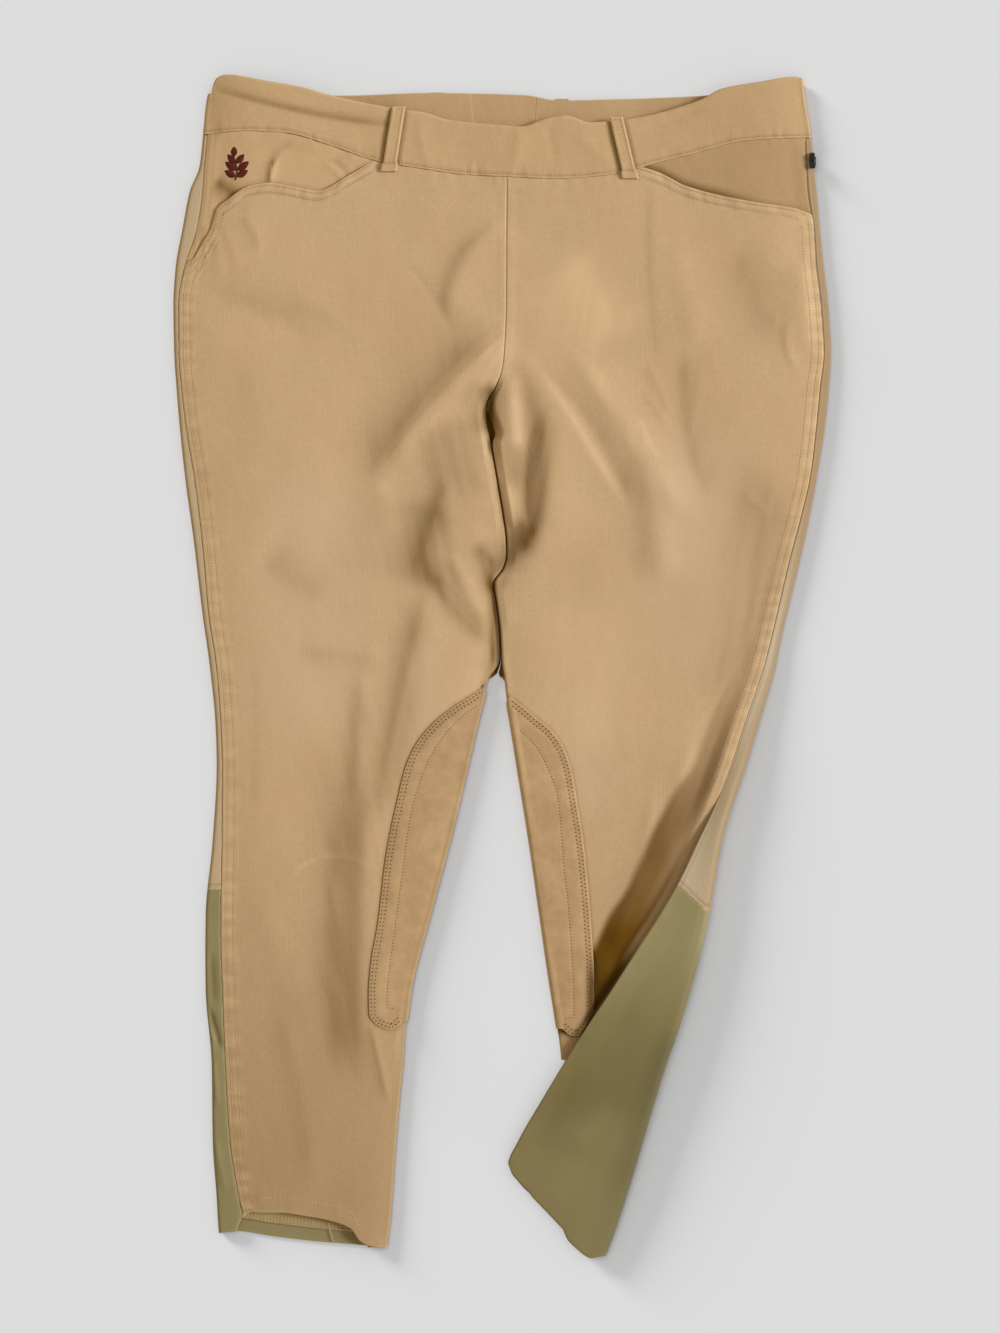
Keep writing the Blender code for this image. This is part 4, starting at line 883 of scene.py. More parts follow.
def woven(finish, base, fade=1.0, pale=(1.0, 1.06, 1.24)):
    """Brushed twill: fine diagonal ribs, threads of slightly uneven tone, broad faded areas, painted shade
    and painted highlights from the masks, and paler rubbed edges.

    fade is how strong the broad paler areas are, and pale what the faded mask multiplies the colour by.
    """
    broad = finish.noise(17, 3, 0.55)
    patchy = finish.noise(95, 3, 0.6)
    warp = finish.noise(1, 1, 0.4, finish.cloth_place(900, 34))
    weft = finish.noise(1, 1, 0.4, finish.cloth_place(30, 800))
    twill = finish.bands(finish.cloth_place(1, 1, 0.55), 560, 0.6, 2)
    worn = finish.between(broad, 0.36, 0.66) * (0.55 * fade)
    shade = finish.mixed(worn, toned(base, 0.955, 0.012), toned(base, 1.035, -0.035))
    shade = finish.layered(shade, finish.between(patchy, 0.42, 0.72) * 0.42, base, 0.90, 0.03)
    threads = finish.between(warp * 0.6 + weft * 0.4, 0.30, 0.70)
    shade = finish.layered(shade, threads * 0.22, base, 0.84)
    shade = finish.layered(shade, twill * 0.10, base, 0.86)
    specks = finish.noise(330, 4, 0.7)
    shade = finish.layered(shade, finish.between(specks, 0.38, 0.66) * 0.80, base, 0.86, 0.02)
    washed = tuple(min(part * share, 1) for part, share in zip(base, pale))
    shade = finish.mixed(finish.mask("faded") * 0.5, shade, washed)
    # painted shade from its mask: hollows, seams and what overhangs
    shade = finish.in_painted_shade(shade, base)
    # painted shade where an edge turns down towards the light
    shade = finish.layered(shade, finish.mask("turned"), base, 0.45)
    # paler rubbed edges, and painted highlights on crests and puckers
    shade = finish.layered(shade, finish.mask("wear") * 0.5, base, 1.28, -0.02)
    relief = finish.bump(twill, 0.00003, finish.bump(threads, 0.00006))
    finish.set(
        base_color=shade, roughness=finish.between(patchy, 0.3, 0.7, 0.84, 0.95), normal=relief,
        sheen_weight=0.12, sheen_roughness=0.45, sheen_tint=base, specular_ior_level=0.06,
    )


def brushed_suede(finish, base):
    """Suede: a short nap brushed into light and dark clouds, with warm darker scuffs, painted shade from its
    mask, and paler rubbed edges.
    """
    clouds = finish.noise(60, 5, 0.62)
    scuffs = finish.noise(190, 4, 0.7)
    nap = finish.noise(1500, 2, 0.6)
    shade = finish.mixed(finish.between(clouds, 0.34, 0.68), toned(base, 0.87, 0.01), toned(base, 1.13, 0.0))
    shade = finish.layered(shade, finish.between(scuffs, 0.45, 0.75) * 0.42, base, 0.80, 0.03)
    # painted shade: under the turned flap, beside the sewn edge and down the turned inner edge
    shade = finish.in_painted_shade(shade, base)
    shade = finish.layered(shade, finish.between(nap, 0.3, 0.7) * 0.30, base, 0.82)
    # paler rubbed edges
    shade = finish.layered(shade, finish.mask("wear") * 0.4, base, 1.15)
    relief = finish.bump(scuffs, 0.0002, finish.bump(nap, 0.00012))
    finish.set(
        base_color=shade, roughness=0.95, normal=relief, sheen_weight=0.35, sheen_roughness=0.4,
        specular_ior_level=0.15,
    )


def stretch_knit(finish, base):
    """The calves' smooth stretch cloth: very fine ribs along the leg, matt, with a faint cloudy tone, and
    painted shade and painted highlights from its masks.
    """
    broad = finish.noise(22, 3, 0.5)
    ribs = finish.bands(finish.cloth_place(), 480, 0.3, 2)
    threads = finish.noise(1, 1, 0.4, finish.cloth_place(1100, 60))
    shade = finish.mixed(finish.between(broad, 0.35, 0.65), toned(base, 0.95, 0.01), toned(base, 1.05))
    shade = finish.layered(shade, ribs * 0.10, base, 0.84)
    shade = finish.layered(shade, finish.between(threads, 0.3, 0.7) * 0.14, base, 0.82)
    # painted shade: dark, warm and low in blue
    shade = finish.mixed(finish.mask("deep"), shade, (base[0] * 0.42, base[1] * 0.36, base[2] * 0.16))
    # painted shade on the rim, which faces the light
    shade = finish.layered(shade, finish.mask("turned"), base, 0.45)
    # paler rubbed edges, and a painted highlight where the painted shade runs below 0
    shade = finish.layered(shade, finish.mask("wear") * 0.5, base, 1.22, 0.02)
    finish.set(
        base_color=shade, roughness=0.88, normal=finish.bump(ribs, 0.00004), sheen_weight=0.15,
        sheen_roughness=0.4, specular_ior_level=0.25,
    )


def rib_knit(finish, base):
    """Ribbed knit of the hem facing: courses across it with small loops in them."""
    courses = finish.bands(finish.cloth_place(1, 1, pi / 2), 190, 0.2)
    loops = finish.bands(finish.cloth_place(), 115, 0.6)
    shade = finish.mixed(courses * 0.5, toned(base, 1.08), toned(base, 0.72))
    shade = finish.layered(shade, loops * 0.55, base, 0.66, 0.05)
    relief = finish.bump(courses * 0.7 + loops * 0.3, 0.0003)
    finish.set(base_color=shade, roughness=0.92, normal=relief, sheen_weight=0.15)


def spun_thread(finish, base):
    """Spun thread: its twist shows as fine slanting bands, and its tone drifts along a row."""
    drift = finish.noise(120)
    twist = finish.noise(2600, 1, 0.5)
    shade = finish.mixed(finish.between(drift, 0.35, 0.65), toned(base, 0.86), toned(base, 1.12))
    shade = finish.layered(shade, twist * 0.4, base, 0.7)
    finish.set(base_color=shade, roughness=0.8, normal=finish.bump(twist, 0.00006), specular_ior_level=0.1)


def enamel(finish, base):
    """Black enamelled metal, rubbed to a duller, rougher tone in small specks."""
    rubbed = finish.between(finish.noise(900, 4, 0.7), 0.55, 0.75)
    shade = finish.mixed(rubbed * 0.5, base, (0.10, 0.095, 0.09))
    finish.set(base_color=shade, roughness=finish.between(rubbed, 0, 1, 0.32, 0.55), metallic=0.35)


def coil_nylon(finish, base):
    """Nylon coils, a little darker and lighter from place to place."""
    tone = finish.noise(700)
    finish.set(base_color=finish.mixed(tone, toned(base, 0.8), toned(base, 1.15)), roughness=0.6)


def pale_board(finish, base):
    """Smooth pale board with the faintest mottling."""
    tone = finish.noise(3)
    finish.set(base_color=finish.mixed(tone, toned(base, 0.995), toned(base, 1.0)), roughness=0.95)
    finish.set(specular_ior_level=0.0)


FINISHES = {  # each finish's slot, its colour in the panel, what works it out, and its fade and pale
    "front_twill": ("stretch_cloth", "stretch_cloth", woven),
    "back_twill": ("back_cloth", "back_cloth", woven, 0.6, (1.58, 2.16, 3.2)),
    "band_twill": ("band_cloth", "band_cloth", woven, 0.5),
    "calf_stretch_cloth": ("calf_stretch", "calf_stretch", stretch_knit),
    "knee_suede": ("suede", "suede", brushed_suede),
    "hem_rib_knit": ("hem_knit", "hem_knit", rib_knit),
    "cloth_thread": ("stretch_cloth", "thread", spun_thread),
    "patch_thread": ("suede", "dark_thread", spun_thread),
    "sprig_thread": ("band_cloth", "motif", spun_thread),
    "black_zip_enamel": ("zip_metal", "zip_metal", enamel),
    "zip_coil_nylon": ("zip_metal", "zip_tape", coil_nylon),
    "pale_floor": (None, "floor", pale_board),
}
finishes = {}


def finish_of(name):
    """The finish of that name, made when it is first asked for."""
    if name not in finishes:
        slot, colour_name, work_out, *options = FINISHES[name]
        finishes[name] = Finish(name, slot)
        work_out(finishes[name], colour_of(colour_name), *options)
    return finishes[name]


# ---- meshes


def new_piece(name, vertices, faces, finish_name, replaced=()):
    """A mesh object from points in millimetres, which rides on the breeches."""
    mesh = bpy.data.meshes.new(name)
    mesh.from_pydata((vertices.reshape(-1, 3) * MM).tolist(), [], faces)
    mesh.update()
    mesh.shade_smooth()
    finish = finish_of(finish_name)
    mesh.materials.append(finish.material)
    made = bpy.data.objects.new(name, mesh)
    bpy.context.scene.collection.objects.link(made)
    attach(made, BODY)
    if replaced:
        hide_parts(*replaced)
    return made


def thicken(made, name, thickness):
    """Gives a piece that is one face thick a wall, inwards from that face, in millimetres."""
    wall_of = made.modifiers.new(name, "SOLIDIFY")
    wall_of.thickness = thickness * MM
    wall_of.offset = -1


def add_mask(mesh, name, values):
    """Stores one number for each vertex, for the material to read."""
    mask = mesh.attributes.new(name, "FLOAT", "POINT")
    mask.data.foreach_set("value", np.clip(values, 0, 1.1).astype(np.float32).ravel())


def grid_faces(rows, columns, flip=False):
    """The four-cornered faces of a grid, each by its points' numbers, row after row."""
    index = np.arange(rows * columns).reshape(rows, columns)
    quads = joined(index[:-1, :-1], index[1:, :-1], index[1:, 1:], index[:-1, 1:]).reshape(-1, 4)
    return (quads[:, ::-1] if flip else quads).tolist()


def surface_area(points):
    """Area of a grid of points: the sum of its cells' two triangles, in square metres."""
    a, b, c, d = points[:-1, :-1], points[1:, :-1], points[1:, 1:], points[:-1, 1:]
    doubled = sum(np.linalg.norm(np.cross(p - a, q - a), axis=-1) for p, q in ((b, c), (c, d)))
    return doubled.sum() / 2 * MM * MM


def sheet(
    node, kind, finish_name, thickness, points, cloth=None, up=True,
    wear=0.0, deep=0.0, faded=0.0, turned=0.0,
):
    """The cloth that a node is replaced by: a grid of points on its outer face, thickened inwards.

    kind ends its name. cloth holds each point's place on the flat cut, across and along, in millimetres.
    up says which way the first column faces. The four masks, in the order of their keywords, hold rubbed
    edges together with painted highlights; painted shade in hollows, seams and under what overhangs; cloth
    that is paler and greyer; and painted shade where an edge turns down.
    """
    a, b, c = points[:-1, 0], points[1:, 0], points[1:, 1]
    faces_up = np.cross(b - a, c - a)[:, 2].sum() > 0
    faces = grid_faces(*points.shape[:2], flip=faces_up != up)
    made = new_piece(f"{node.removesuffix('_layers')}_{kind}", points, faces, finish_name, [node])
    mesh = made.data
    corner = np.empty(len(mesh.loops), int)
    mesh.loops.foreach_get("vertex_index", corner)
    cloth = own_cloth(points) if cloth is None else cloth
    layer = mesh.uv_layers.new(name="cloth")
    layer.data.foreach_set("uv", (cloth.reshape(-1, 2)[corner] * MM).astype(np.float32).ravel())
    # one number per vertex for each mask: rubbed edges with painted highlights, painted shade, paler cloth,
    # painted shade on turned edges
    masks = {"wear": wear, "deep": deep, "faded": faded, "turned": turned}
    for mask, values in masks.items():
        add_mask(mesh, mask, np.zeros(points.shape[:2]) + values)
    thicken(made, "Cloth thickness", thickness)
    area = float(surface_area(points))
    return made


def along_grid(points, axis):
    """Running length of a grid's lines along one axis, in millimetres."""
    steps = np.linalg.norm(np.diff(points, axis=axis), axis=-1)
    start = np.zeros_like(np.take(steps, [0], axis=axis))
    return np.concatenate([start, np.cumsum(steps, axis=axis)], axis=axis)


def own_cloth(points):
    """Places on the flat cut for a grid that has no unrolled places of its own."""
    return joined(along_grid(points, 1), along_grid(points, 0))


def edge_wear(points, top, bottom, first, last, columns=2):
    """Wear along a grid's edges: each fades like a bell over two rows, or over that many columns."""
    i, j = np.ogrid[: points.shape[0], : points.shape[1]]
    mask = top * bell(i, 2) + bottom * bell(i[::-1], 2)
    return mask + first * bell(j, columns) + last * bell(j[:, ::-1], columns)


def packed(start, end, step, fine=0.6, growth=1.35):
    """Levels from start to end that lie close together near both ends and step apart between."""
    steps = [fine]
    while steps[-1] * growth < step:
        steps.append(steps[-1] * growth)
    near = np.cumsum(steps)
    total = abs(end - start)
    if 2 * near[-1] > 0.8 * total:
        return np.linspace(start, end, 12)
    count = max(int(round((total - 2 * near[-1]) / step)), 2)
    inner = np.linspace(near[-1], total - near[-1], count + 1)
    distance = np.r_[0, near[:-1], inner, total - near[:-1][::-1], total]
    return start + (end - start) * distance / total


def bent_rows(levels, place_at, out_of, top_y, bottom_y):
    """Rows that follow a piece's top and bottom edges and are level between. Gives places and their y."""
    fade_top = np.clip((levels - FADE_TOP_Y) / (levels[0] - FADE_TOP_Y), 0, 1)[:, None]
    fade_hem = np.clip((FADE_HEM_Y - levels) / (FADE_HEM_Y - levels[-1]), 0, 1)[:, None]
    y = levels[:, None] + np.zeros_like(place_at(levels[:, None]))
    for _ in range(14):
        out = out_of(place_at(y), y)
        bent = (top_y(out) - levels[0]) * fade_top + (bottom_y(out) - levels[-1]) * fade_hem
        y = (y + levels[:, None] + bent) / 2
    return place_at(y), y


# Widths of a front's columns, from the side seam inwards: fine across the rows of stitching.
TOP_STEPS = np.r_[np.full(4, 0.5), np.full(15, 0.8), 1.2, 1.7, np.full(78, 2.3), 1.6, np.full(6, 1.0)]
TOP_SHARE = np.r_[0, np.cumsum(TOP_STEPS) / TOP_STEPS.sum()]


def front_places(half, y):
    """Unrolled places across a front: close together at its side seam and round its inner edge."""
    columns = len(TOP_SHARE) - 1
    start, end = half.seam(y) + half.lap(y), half.inseam(y)
    arc = half.arc_length(y) * half.turn(y)
    share = np.r_[TOP_SHARE[:-1], np.ones(ARC_STEPS + 3)]
    lead = np.r_[np.full(columns + 1, EDGE_LEAD), np.zeros(ARC_STEPS + 2)]
    wrapped = np.r_[np.ones(columns + 1), np.linspace(1, 0, ARC_STEPS + 1), 0]
    tucked = np.r_[np.ones(columns + ARC_STEPS + 2), 0]
    least = np.r_[np.full(columns, ARC_STEPS + 2), np.arange(ARC_STEPS + 2, -1, -1)] * LEAST_COLUMN
    back = np.maximum(lead + wrapped * arc + tucked * half.tuck(y), least)
    return start + (end + back - start) * share


def thrown_shade(half, out, y):
    """Shade that the turned flap throws on the left front: its tables' depth, out to their width.

    Some light comes in on the raised allowance beside the seam, and less of it further in.
    """
    from_seam = half.seam(y) - out
    wide = flap_shade_width(y) * (1 + 0.05 * noise(0 * y, y, 10, 26, 27))
    edge = smooth((wide + 4 - from_seam) / 9)
    cloudy = 1 + 0.05 * noise(out, y, 14, 24, 26)
    allowance = (0.45 + 0.35 * smooth((-110 - y) / 40)) * smooth((9.5 - from_seam) / 5)
    further = 0.26 * smooth((24 - from_seam) / 14) * smooth((y + 215) / 60)
    lit = smooth((y + 246) / 30) * smooth((50 - y) / 40) * (allowance + further)
    return flap_shade(y) * edge * cloudy * (1 - lit)


def make_front(side):
    """A front: rows bent to its upper edge and hem, and columns unrolled from side seam to inseam.

    Its painted shade is the sum of shade painted in the hollows, in the dips of the puckers and in the rows
    of stitching, or the shade painted for what overhangs it where that is deeper. Its rubbed edges are paler,
    and painted highlights lie on raised puckers, on light crests and on the right hem's edge.
    """
    half = halves[side]
    levels = packed(402, FRONT_END_Y[side], 2.7)
    places, y = bent_rows(
        levels, lambda rows: front_places(half, rows),
        lambda places, rows: np.maximum(places, half.inner_top(rows)), half.top_y, half.hem_y,
    )
    points = half.front_point(places, y)
    out = half.sign * points[..., 0]
    from_seam, below = half.seam(y) - out, half.below_top(out, y)
    on_top = smooth((places - half.inner_top(y)) / 3 + 1)
    sewn, mouth = half.sewn(y), half.in_mouth(out)
    shades = fold_sum(SHADES, half.sign * out, y) * (1 + 0.30 * noise(out - 0.2 * y, y, 5, 46, 28))
    pucker = noise(from_seam, y, 22, 3.8, 21) * bell(from_seam - 5, 7) * sewn
    pucker = pucker + mouth * noise(out + 0.3 * y, below, 3.8, 16, 23) * bell(below - 4, 6)

    # Paler rubbed edges and a paler band beside the side seam; painted highlights on raised puckers, where
    # SHADES runs below 0, and along the right hem's edge.
    wear = 0.35 * bell(from_seam, 1.2) + 0.3 * bell(below, 1.6) * (out > half.mouth_start)
    if side == "left":
        wear = wear + 0.4 * (1 - half.turn(y)) * bell(out - half.inner(y) - 0.8, 1.0)
    wear = wear + 0.7 * np.maximum(pucker, 0)
    wear = wear + 0.22 * smooth((13 - from_seam) / 5) * sewn
    wear = wear + 7 * np.maximum(-shades, 0)
    if side == "right":
        wear = wear + 0.5 * bell(y - half.hem_y(out), 1.5)

    # Painted shade: darker towards the hem, where less light falls, then the hollows of SHADES, the dips of
    # the puckers and the rows' furrows.
    deep = 0.42 * smooth((-40 - y) / 420) * on_top
    deep = deep + np.maximum(shades, 0) + 0.16 * np.maximum(-pucker, 0) + ROW_SHADE * half.stitched(out, y)
    if side == "left":
        deep = np.maximum(0.88 * deep, thrown_shade(half, out, y))
    else:
        # painted shade down the right leg's inner edge, which turns towards the light
        turned = half.turn(y) * smooth((half.inner_top(y) + 1.5 - places) / 2.5)
        deep = np.maximum(0.88 * deep, turned * (0.30 + 0.22 * bell(y - 30, 36)))
    # painted shade along the knee patch's edge
    by_patch = y[:, 0] < 20
    near_patch = distance_to(joined(out, y)[by_patch], patch_outline(side))
    deep[by_patch] += 0.30 * bell(near_patch, 1.6)
    # painted shade where the cloth turns under the leg
    rolled_under = np.maximum(half.inner_top(y) - places, 0) / half.arc_length(y) * pi
    deep = np.maximum(deep, smooth((rolled_under - 0.5) / 0.7) * half.turn(y) * smooth((y + 14) / 6))
    # turned: painted shade down the lower leg's turned inner edge
    sheet(
        f"front_{side}", "cloth", "front_twill", wall("cloth"), points,
        joined(places, y), wear=wear, deep=deep, faded=fold_sum(FADED, half.sign * out, y) * on_top,
        turned=0.30 * smooth(rolled_under / 0.6) * smooth((-60 - y) / 60),
    )


def back_shares(strip_steps, edge_steps, under_steps):
    """Shares across a wrapped back: its strip on top, its turn round the edge and its underside."""
    closer_at_seam = 1.25 if strip_steps > 12 else 1.0
    strip = np.linspace(0, 1, strip_steps + 1)[:-1] ** closer_at_seam
    return np.r_[strip, np.linspace(1, 2, edge_steps + 1)[:-1], np.linspace(2, 3, under_steps + 1)]


def wrapped_cloth(points):
    """Places on the flat cut for a wrapped back: running length across, row height along."""
    return joined(along_grid(points, 1), points[..., 1])


def make_back(side):
    """A back: rows from the waistband's seam down to the calf's, wrapped round the outer edge."""
    half = halves[side]
    shares = back_shares(8 if side == "right" else 16, 8, 30)
    end = CALF_SEAM_Y[side] + SEAM / 2
    levels = packed(424, end, 3.2)
    fade = np.clip((levels - 320) / (levels[0] - 320), 0, 1)[:, None]
    y = levels[:, None] + 0 * shares
    x = half.back_point(shares, y)[..., 0]
    y = y + (back_band_seam_y(x) - BAND_GAP - levels[0]) * fade
    points = half.back_point(shares, y)
    points[..., 2] += 0.35 * bell(points[..., 1] - end - 1.4, 1.3) * (shares < 1.2)
    run = shares * (half.edge(y) - half.seam(y))
    # Painted shade along the side seam, a little way in where the left back folds over.
    flat = smooth((y + 20) / 40) if side == "left" else 1.0
    at_seam = 0.5 * flat * bell(run - 0.2, 0.9) + 0.30 * (1 - flat) * bell(run - 3.2, 0.8)
    faded = 0.5 if side == "right" else 0.15 + 0.85 * smooth((150 - y) / 150)
    # painted shade: a line above the calf seam and the side seam's line; turned: painted shade round the
    # outer edge
    sheet(
        f"back_{side}", "cloth", "back_twill", wall("cloth"),
        points, wrapped_cloth(points), wear=edge_wear(points, 0.2, 0.7, 0.4, 0.2),
        deep=0.3 * bell(y - end - 4.2, 0.9) * (shares < 1.3) + at_seam * (shares < 1),
        faded=smooth(1.5 - shares) * faded, turned=EDGE_SHADE[side] * bell(shares - 1.3, 0.25),
    )


def calf_right_grid(half, start):
    """The right calf, its rows bent to the back hem, with shallow creases where it shows."""
    shares = back_shares(10, 8, 24)
    end = -460
    y = packed(start, end, 3.0)[:, None] + 0 * shares
    hem = back_hem_y(half.back_point(shares, y)[..., 0])
    y = y + (hem - end) * smooth((-380 - y) / 80)
    points = half.back_point(shares, y)
    relief = fold_sum(CALF_CREASES, points[..., 0], y) * (shares < 1.3)
    points[..., 2] += relief * smooth(shares / 0.2) * smooth((1.3 - shares) / 0.3)
    # Painted shade: even, darker towards the hem, and in the creases' troughs.
    deep = 0.14 + 0.08 * smooth((-300 - y) / 120) + 0.28 * np.maximum(-relief, 0) + 0 * shares
    return points, shares, deep, 0.0


def calf_left_grid(half, start):
    """The left calf, turned over the shin: its lower rows sag, and its hem is rolled."""
    shares = back_shares(44, 10, 22)
    y = packed(start, FLAP_HEM_Y, 2.3)[:, None] + 0 * shares
    points = half.back_point(shares, y)
    points[..., 1] -= flap_bulge(shares, y)
    row = points[..., 1]
    # painted shade from CALF_SHADE and CALF_SHADES, and painted shade by the outer edge from CALF_EDGE_SHADE
    deep = calf_shade(row) + fold_sum(CALF_SHADES, points[..., 0], row)
    points[..., 2] += (shares < 1) * rolled(row - row[-1:], 1.8, 0.7)
    return points, shares, deep, calf_edge_shade(row)


def make_calf(side):
    """A calf panel, sewn under the back. Its rubbed edges are paler, and a painted highlight lies where its
    painted shade runs below 0.
    """
    grid = calf_right_grid if side == "right" else calf_left_grid
    points, shares, deep, beside = grid(halves[side], CALF_SEAM_Y[side] - SEAM / 2)
    # painted shade on the left calf's rim, which faces the light, and beside it
    rim = EDGE_SHADE[side] * 1.2 * smooth((shares - 0.95) / 0.25) * smooth(2.2 - shares)
    sheet(
        f"calf_{side}", "cloth", "calf_stretch_cloth", wall("cloth"),
        points, wrapped_cloth(points), deep=deep,
        wear=edge_wear(points, 0.1, 0.5, 0.4, 0.1) + 2 * np.maximum(-deep, 0),
        turned=rim + beside * smooth((shares - 0.7) / 0.3),
    )


def moved_out(points, distance):
    """Moves a grid off the surface it lies on, along its own normals."""
    normal = np.cross(np.gradient(points, axis=0), np.gradient(points, axis=1))
    normal /= np.linalg.norm(normal, axis=-1, keepdims=True) + 1e-12
    return points + normal * distance[..., None] * np.sign(normal[..., 2].sum())


def patch_corner(half, out, y):
    """How far the patch's lower rows bend up towards the inner edge of the leg."""
    inward = smooth((half.inner_top(y) + 11 - out) / 12)
    return PATCH_CORNER * inward**2 * smooth((half.patch_bottom + 14 - y) / 14)


def patch_outline(side):
    """The patch's sewn edge, out and y, from its upper tip down and along its lower edge."""
    half = halves[side]
    y = np.linspace(half.patch_top, half.patch_bottom, 400)
    out = np.linspace(half.patch_edge(half.patch_bottom), half.inner_top(half.patch_bottom) - 3, 40)[1:]
    low = half.patch_bottom + patch_corner(half, out, half.patch_bottom + 0 * out)
    return joined(np.r_[half.patch_edge(y), out], np.r_[y, low])


def distance_to(points, path):
    """Distance of each point to a polyline's own points."""
    flat = points.reshape(-1, 2)
    found = np.full(len(flat), np.inf)
    for piece in np.array_split(path, max(len(path) // 40, 1)):
        gap = np.hypot(flat[:, None, 0] - piece[None, :, 0], flat[:, None, 1] - piece[None, :, 1])
        found = np.minimum(found, gap.min(1))
    return found.reshape(points.shape[:-1])


def resampled(path, step):
    """A polyline's points, evenly spaced along it."""
    run = along_grid(path, 0)
    at = np.arange(0, run[-1], step)
    return np.stack([np.interp(at, run, path[:, k]) for k in range(path.shape[1])], -1)


def smoothed_path(table):
    """A smooth polyline through a table's points, by running length."""
    knots = np.array(table, float)
    run = along_grid(knots, 0)
    at = np.linspace(0, run[-1], 500)
    return np.stack([curve(list(zip(run, knots[:, k])))(at) for k in (0, 1)], -1)


def inset(path, distance):
    """A polyline moved sideways, towards smaller out."""
    step = np.gradient(path, axis=0)
    normal = joined(step[:, 1], -step[:, 0])
    normal /= np.linalg.norm(normal, axis=1, keepdims=True)
    return path + normal * distance


def patch_lift(side, out, y):
    """How far the suede stands off the front: its thickness, thinner at its edge, with sewn furrows."""
    flat = joined(out, y)
    from_edge = distance_to(flat, patch_outline(side))
    inner_row = distance_to(flat, smoothed_path(PATCH_INNER_ROW[side]))
    sewn = row_marks(from_edge, PATCH_ROWS, 0.9) + bell(inner_row, 1.0)
    puckers = 0.14 * noise(out, y, 5, 5, 41) * bell(from_edge - 4, 5)
    lift = PATCH_LIFT + PATCH_WALL + rolled(from_edge, 1.8, 0.6) - 0.25 * np.minimum(sewn, 1) + puckers
    return lift + 0.2 * bell(from_edge - 9, 4), from_edge


PATCH_COLUMNS = np.r_[0, 0.5, 1.1, 1.8, 2.6, 3.5, 4.5, 5.6, np.arange(7, 34.1, 1.2)]


def make_patch(side):
    """A knee patch: the front's own surface between the patch's edges, moved out by the suede's lift."""
    half = halves[side]
    levels = packed(half.patch_top, half.patch_bottom + 0.4, 2.3, 0.5)[:, None]
    start = half.inner_top(levels)
    outer = np.clip(half.patch_edge(levels), start + PATCH_TIP, half.seam(levels) - 0.8)
    end = start - half.arc_length(levels) * PATCH_TURN / pi * (0.05 + 0.95 * smooth((levels[0] - levels) / 9))
    top = outer + (start - outer) * PATCH_COLUMNS / PATCH_COLUMNS[-1]
    turned_down = start + (end - start) * np.linspace(0, 1, 12)[1:]
    places = np.concatenate([top, turned_down], -1)
    y = levels + patch_corner(half, places, levels)
    lift, from_edge = patch_lift(side, places, y)
    on_top = places > start
    points = moved_out(half.front_point(places, y), np.where(on_top, lift, PATCH_LIFT + PATCH_WALL))
    # Painted shade: more on the right patch, darker towards the hem, and beside the sewn edge.
    deep = (0.14 if side == "right" else 0.0) + 0.10 * smooth((-150 - y) / 120) + 0 * places
    deep = deep + 0.12 * bell(from_edge - 3.5, 2.2) * on_top
    under_flap = 0.0
    # painted shadow of the turned flap on the left patch's outer edge
    if side == "left":
        from_outer = half.patch_edge(y) - places
        under_flap = smooth((-222 - y) / 34) * smooth(1 - (from_outer - 1) / 9) * smooth((y + 292) / 10)
        deep = deep + 0.95 * under_flap
    else:
        # painted shade down the right patch's turned inner edge
        deep = np.maximum(deep, 0.32 * smooth((start + 1.5 - places) / 2.5))
    # paler rubbed edge, left out under the flap's painted shadow
    sheet(
        f"knee_patch_{side}", "suede", "knee_suede", wall("suede"),
        points, joined(places, y),
        wear=(0.8 - 0.8 * under_flap) * bell(from_edge, 0.9) * on_top, deep=deep,
    )


FACING_FOLDS = [  # in the terms of the folds
    (-176, 414, -185, 386, -3, 3, 5, 1.5, 1.0),
    (-142, 402, -124, 384, 2, 4, 5, 2, 0.8),
    (-222, 382, -204, 378, 0, 7, 7, 4, -1.0),
]
# painted shade in the right facing's hollows, in the terms of the folds; below 0, painted highlights
FACING_SHADES = [
    (-182, 405, -187, 384, -1, 4, 1.2, 1, 0.75),
    (-168, 418, -183, 400, -2, 4, 2, 1.2, 0.30),
    (-179, 404, -184, 386, -1, 1, 3, 0.8, -0.30),
    (-229, 388, -212, 375, 0, 8, 7, 4, 0.85),
    (-136, 404, -122, 388, 3, 3, 5, 2, 0.30),
    (-128, 404, -118, 394, 2, 3, 3, 2, -0.15),
]


def facing_swell(out, y):
    """The slow relief of a pocket facing."""
    return 0.16 * noise(out, y, 11, 14, 51)


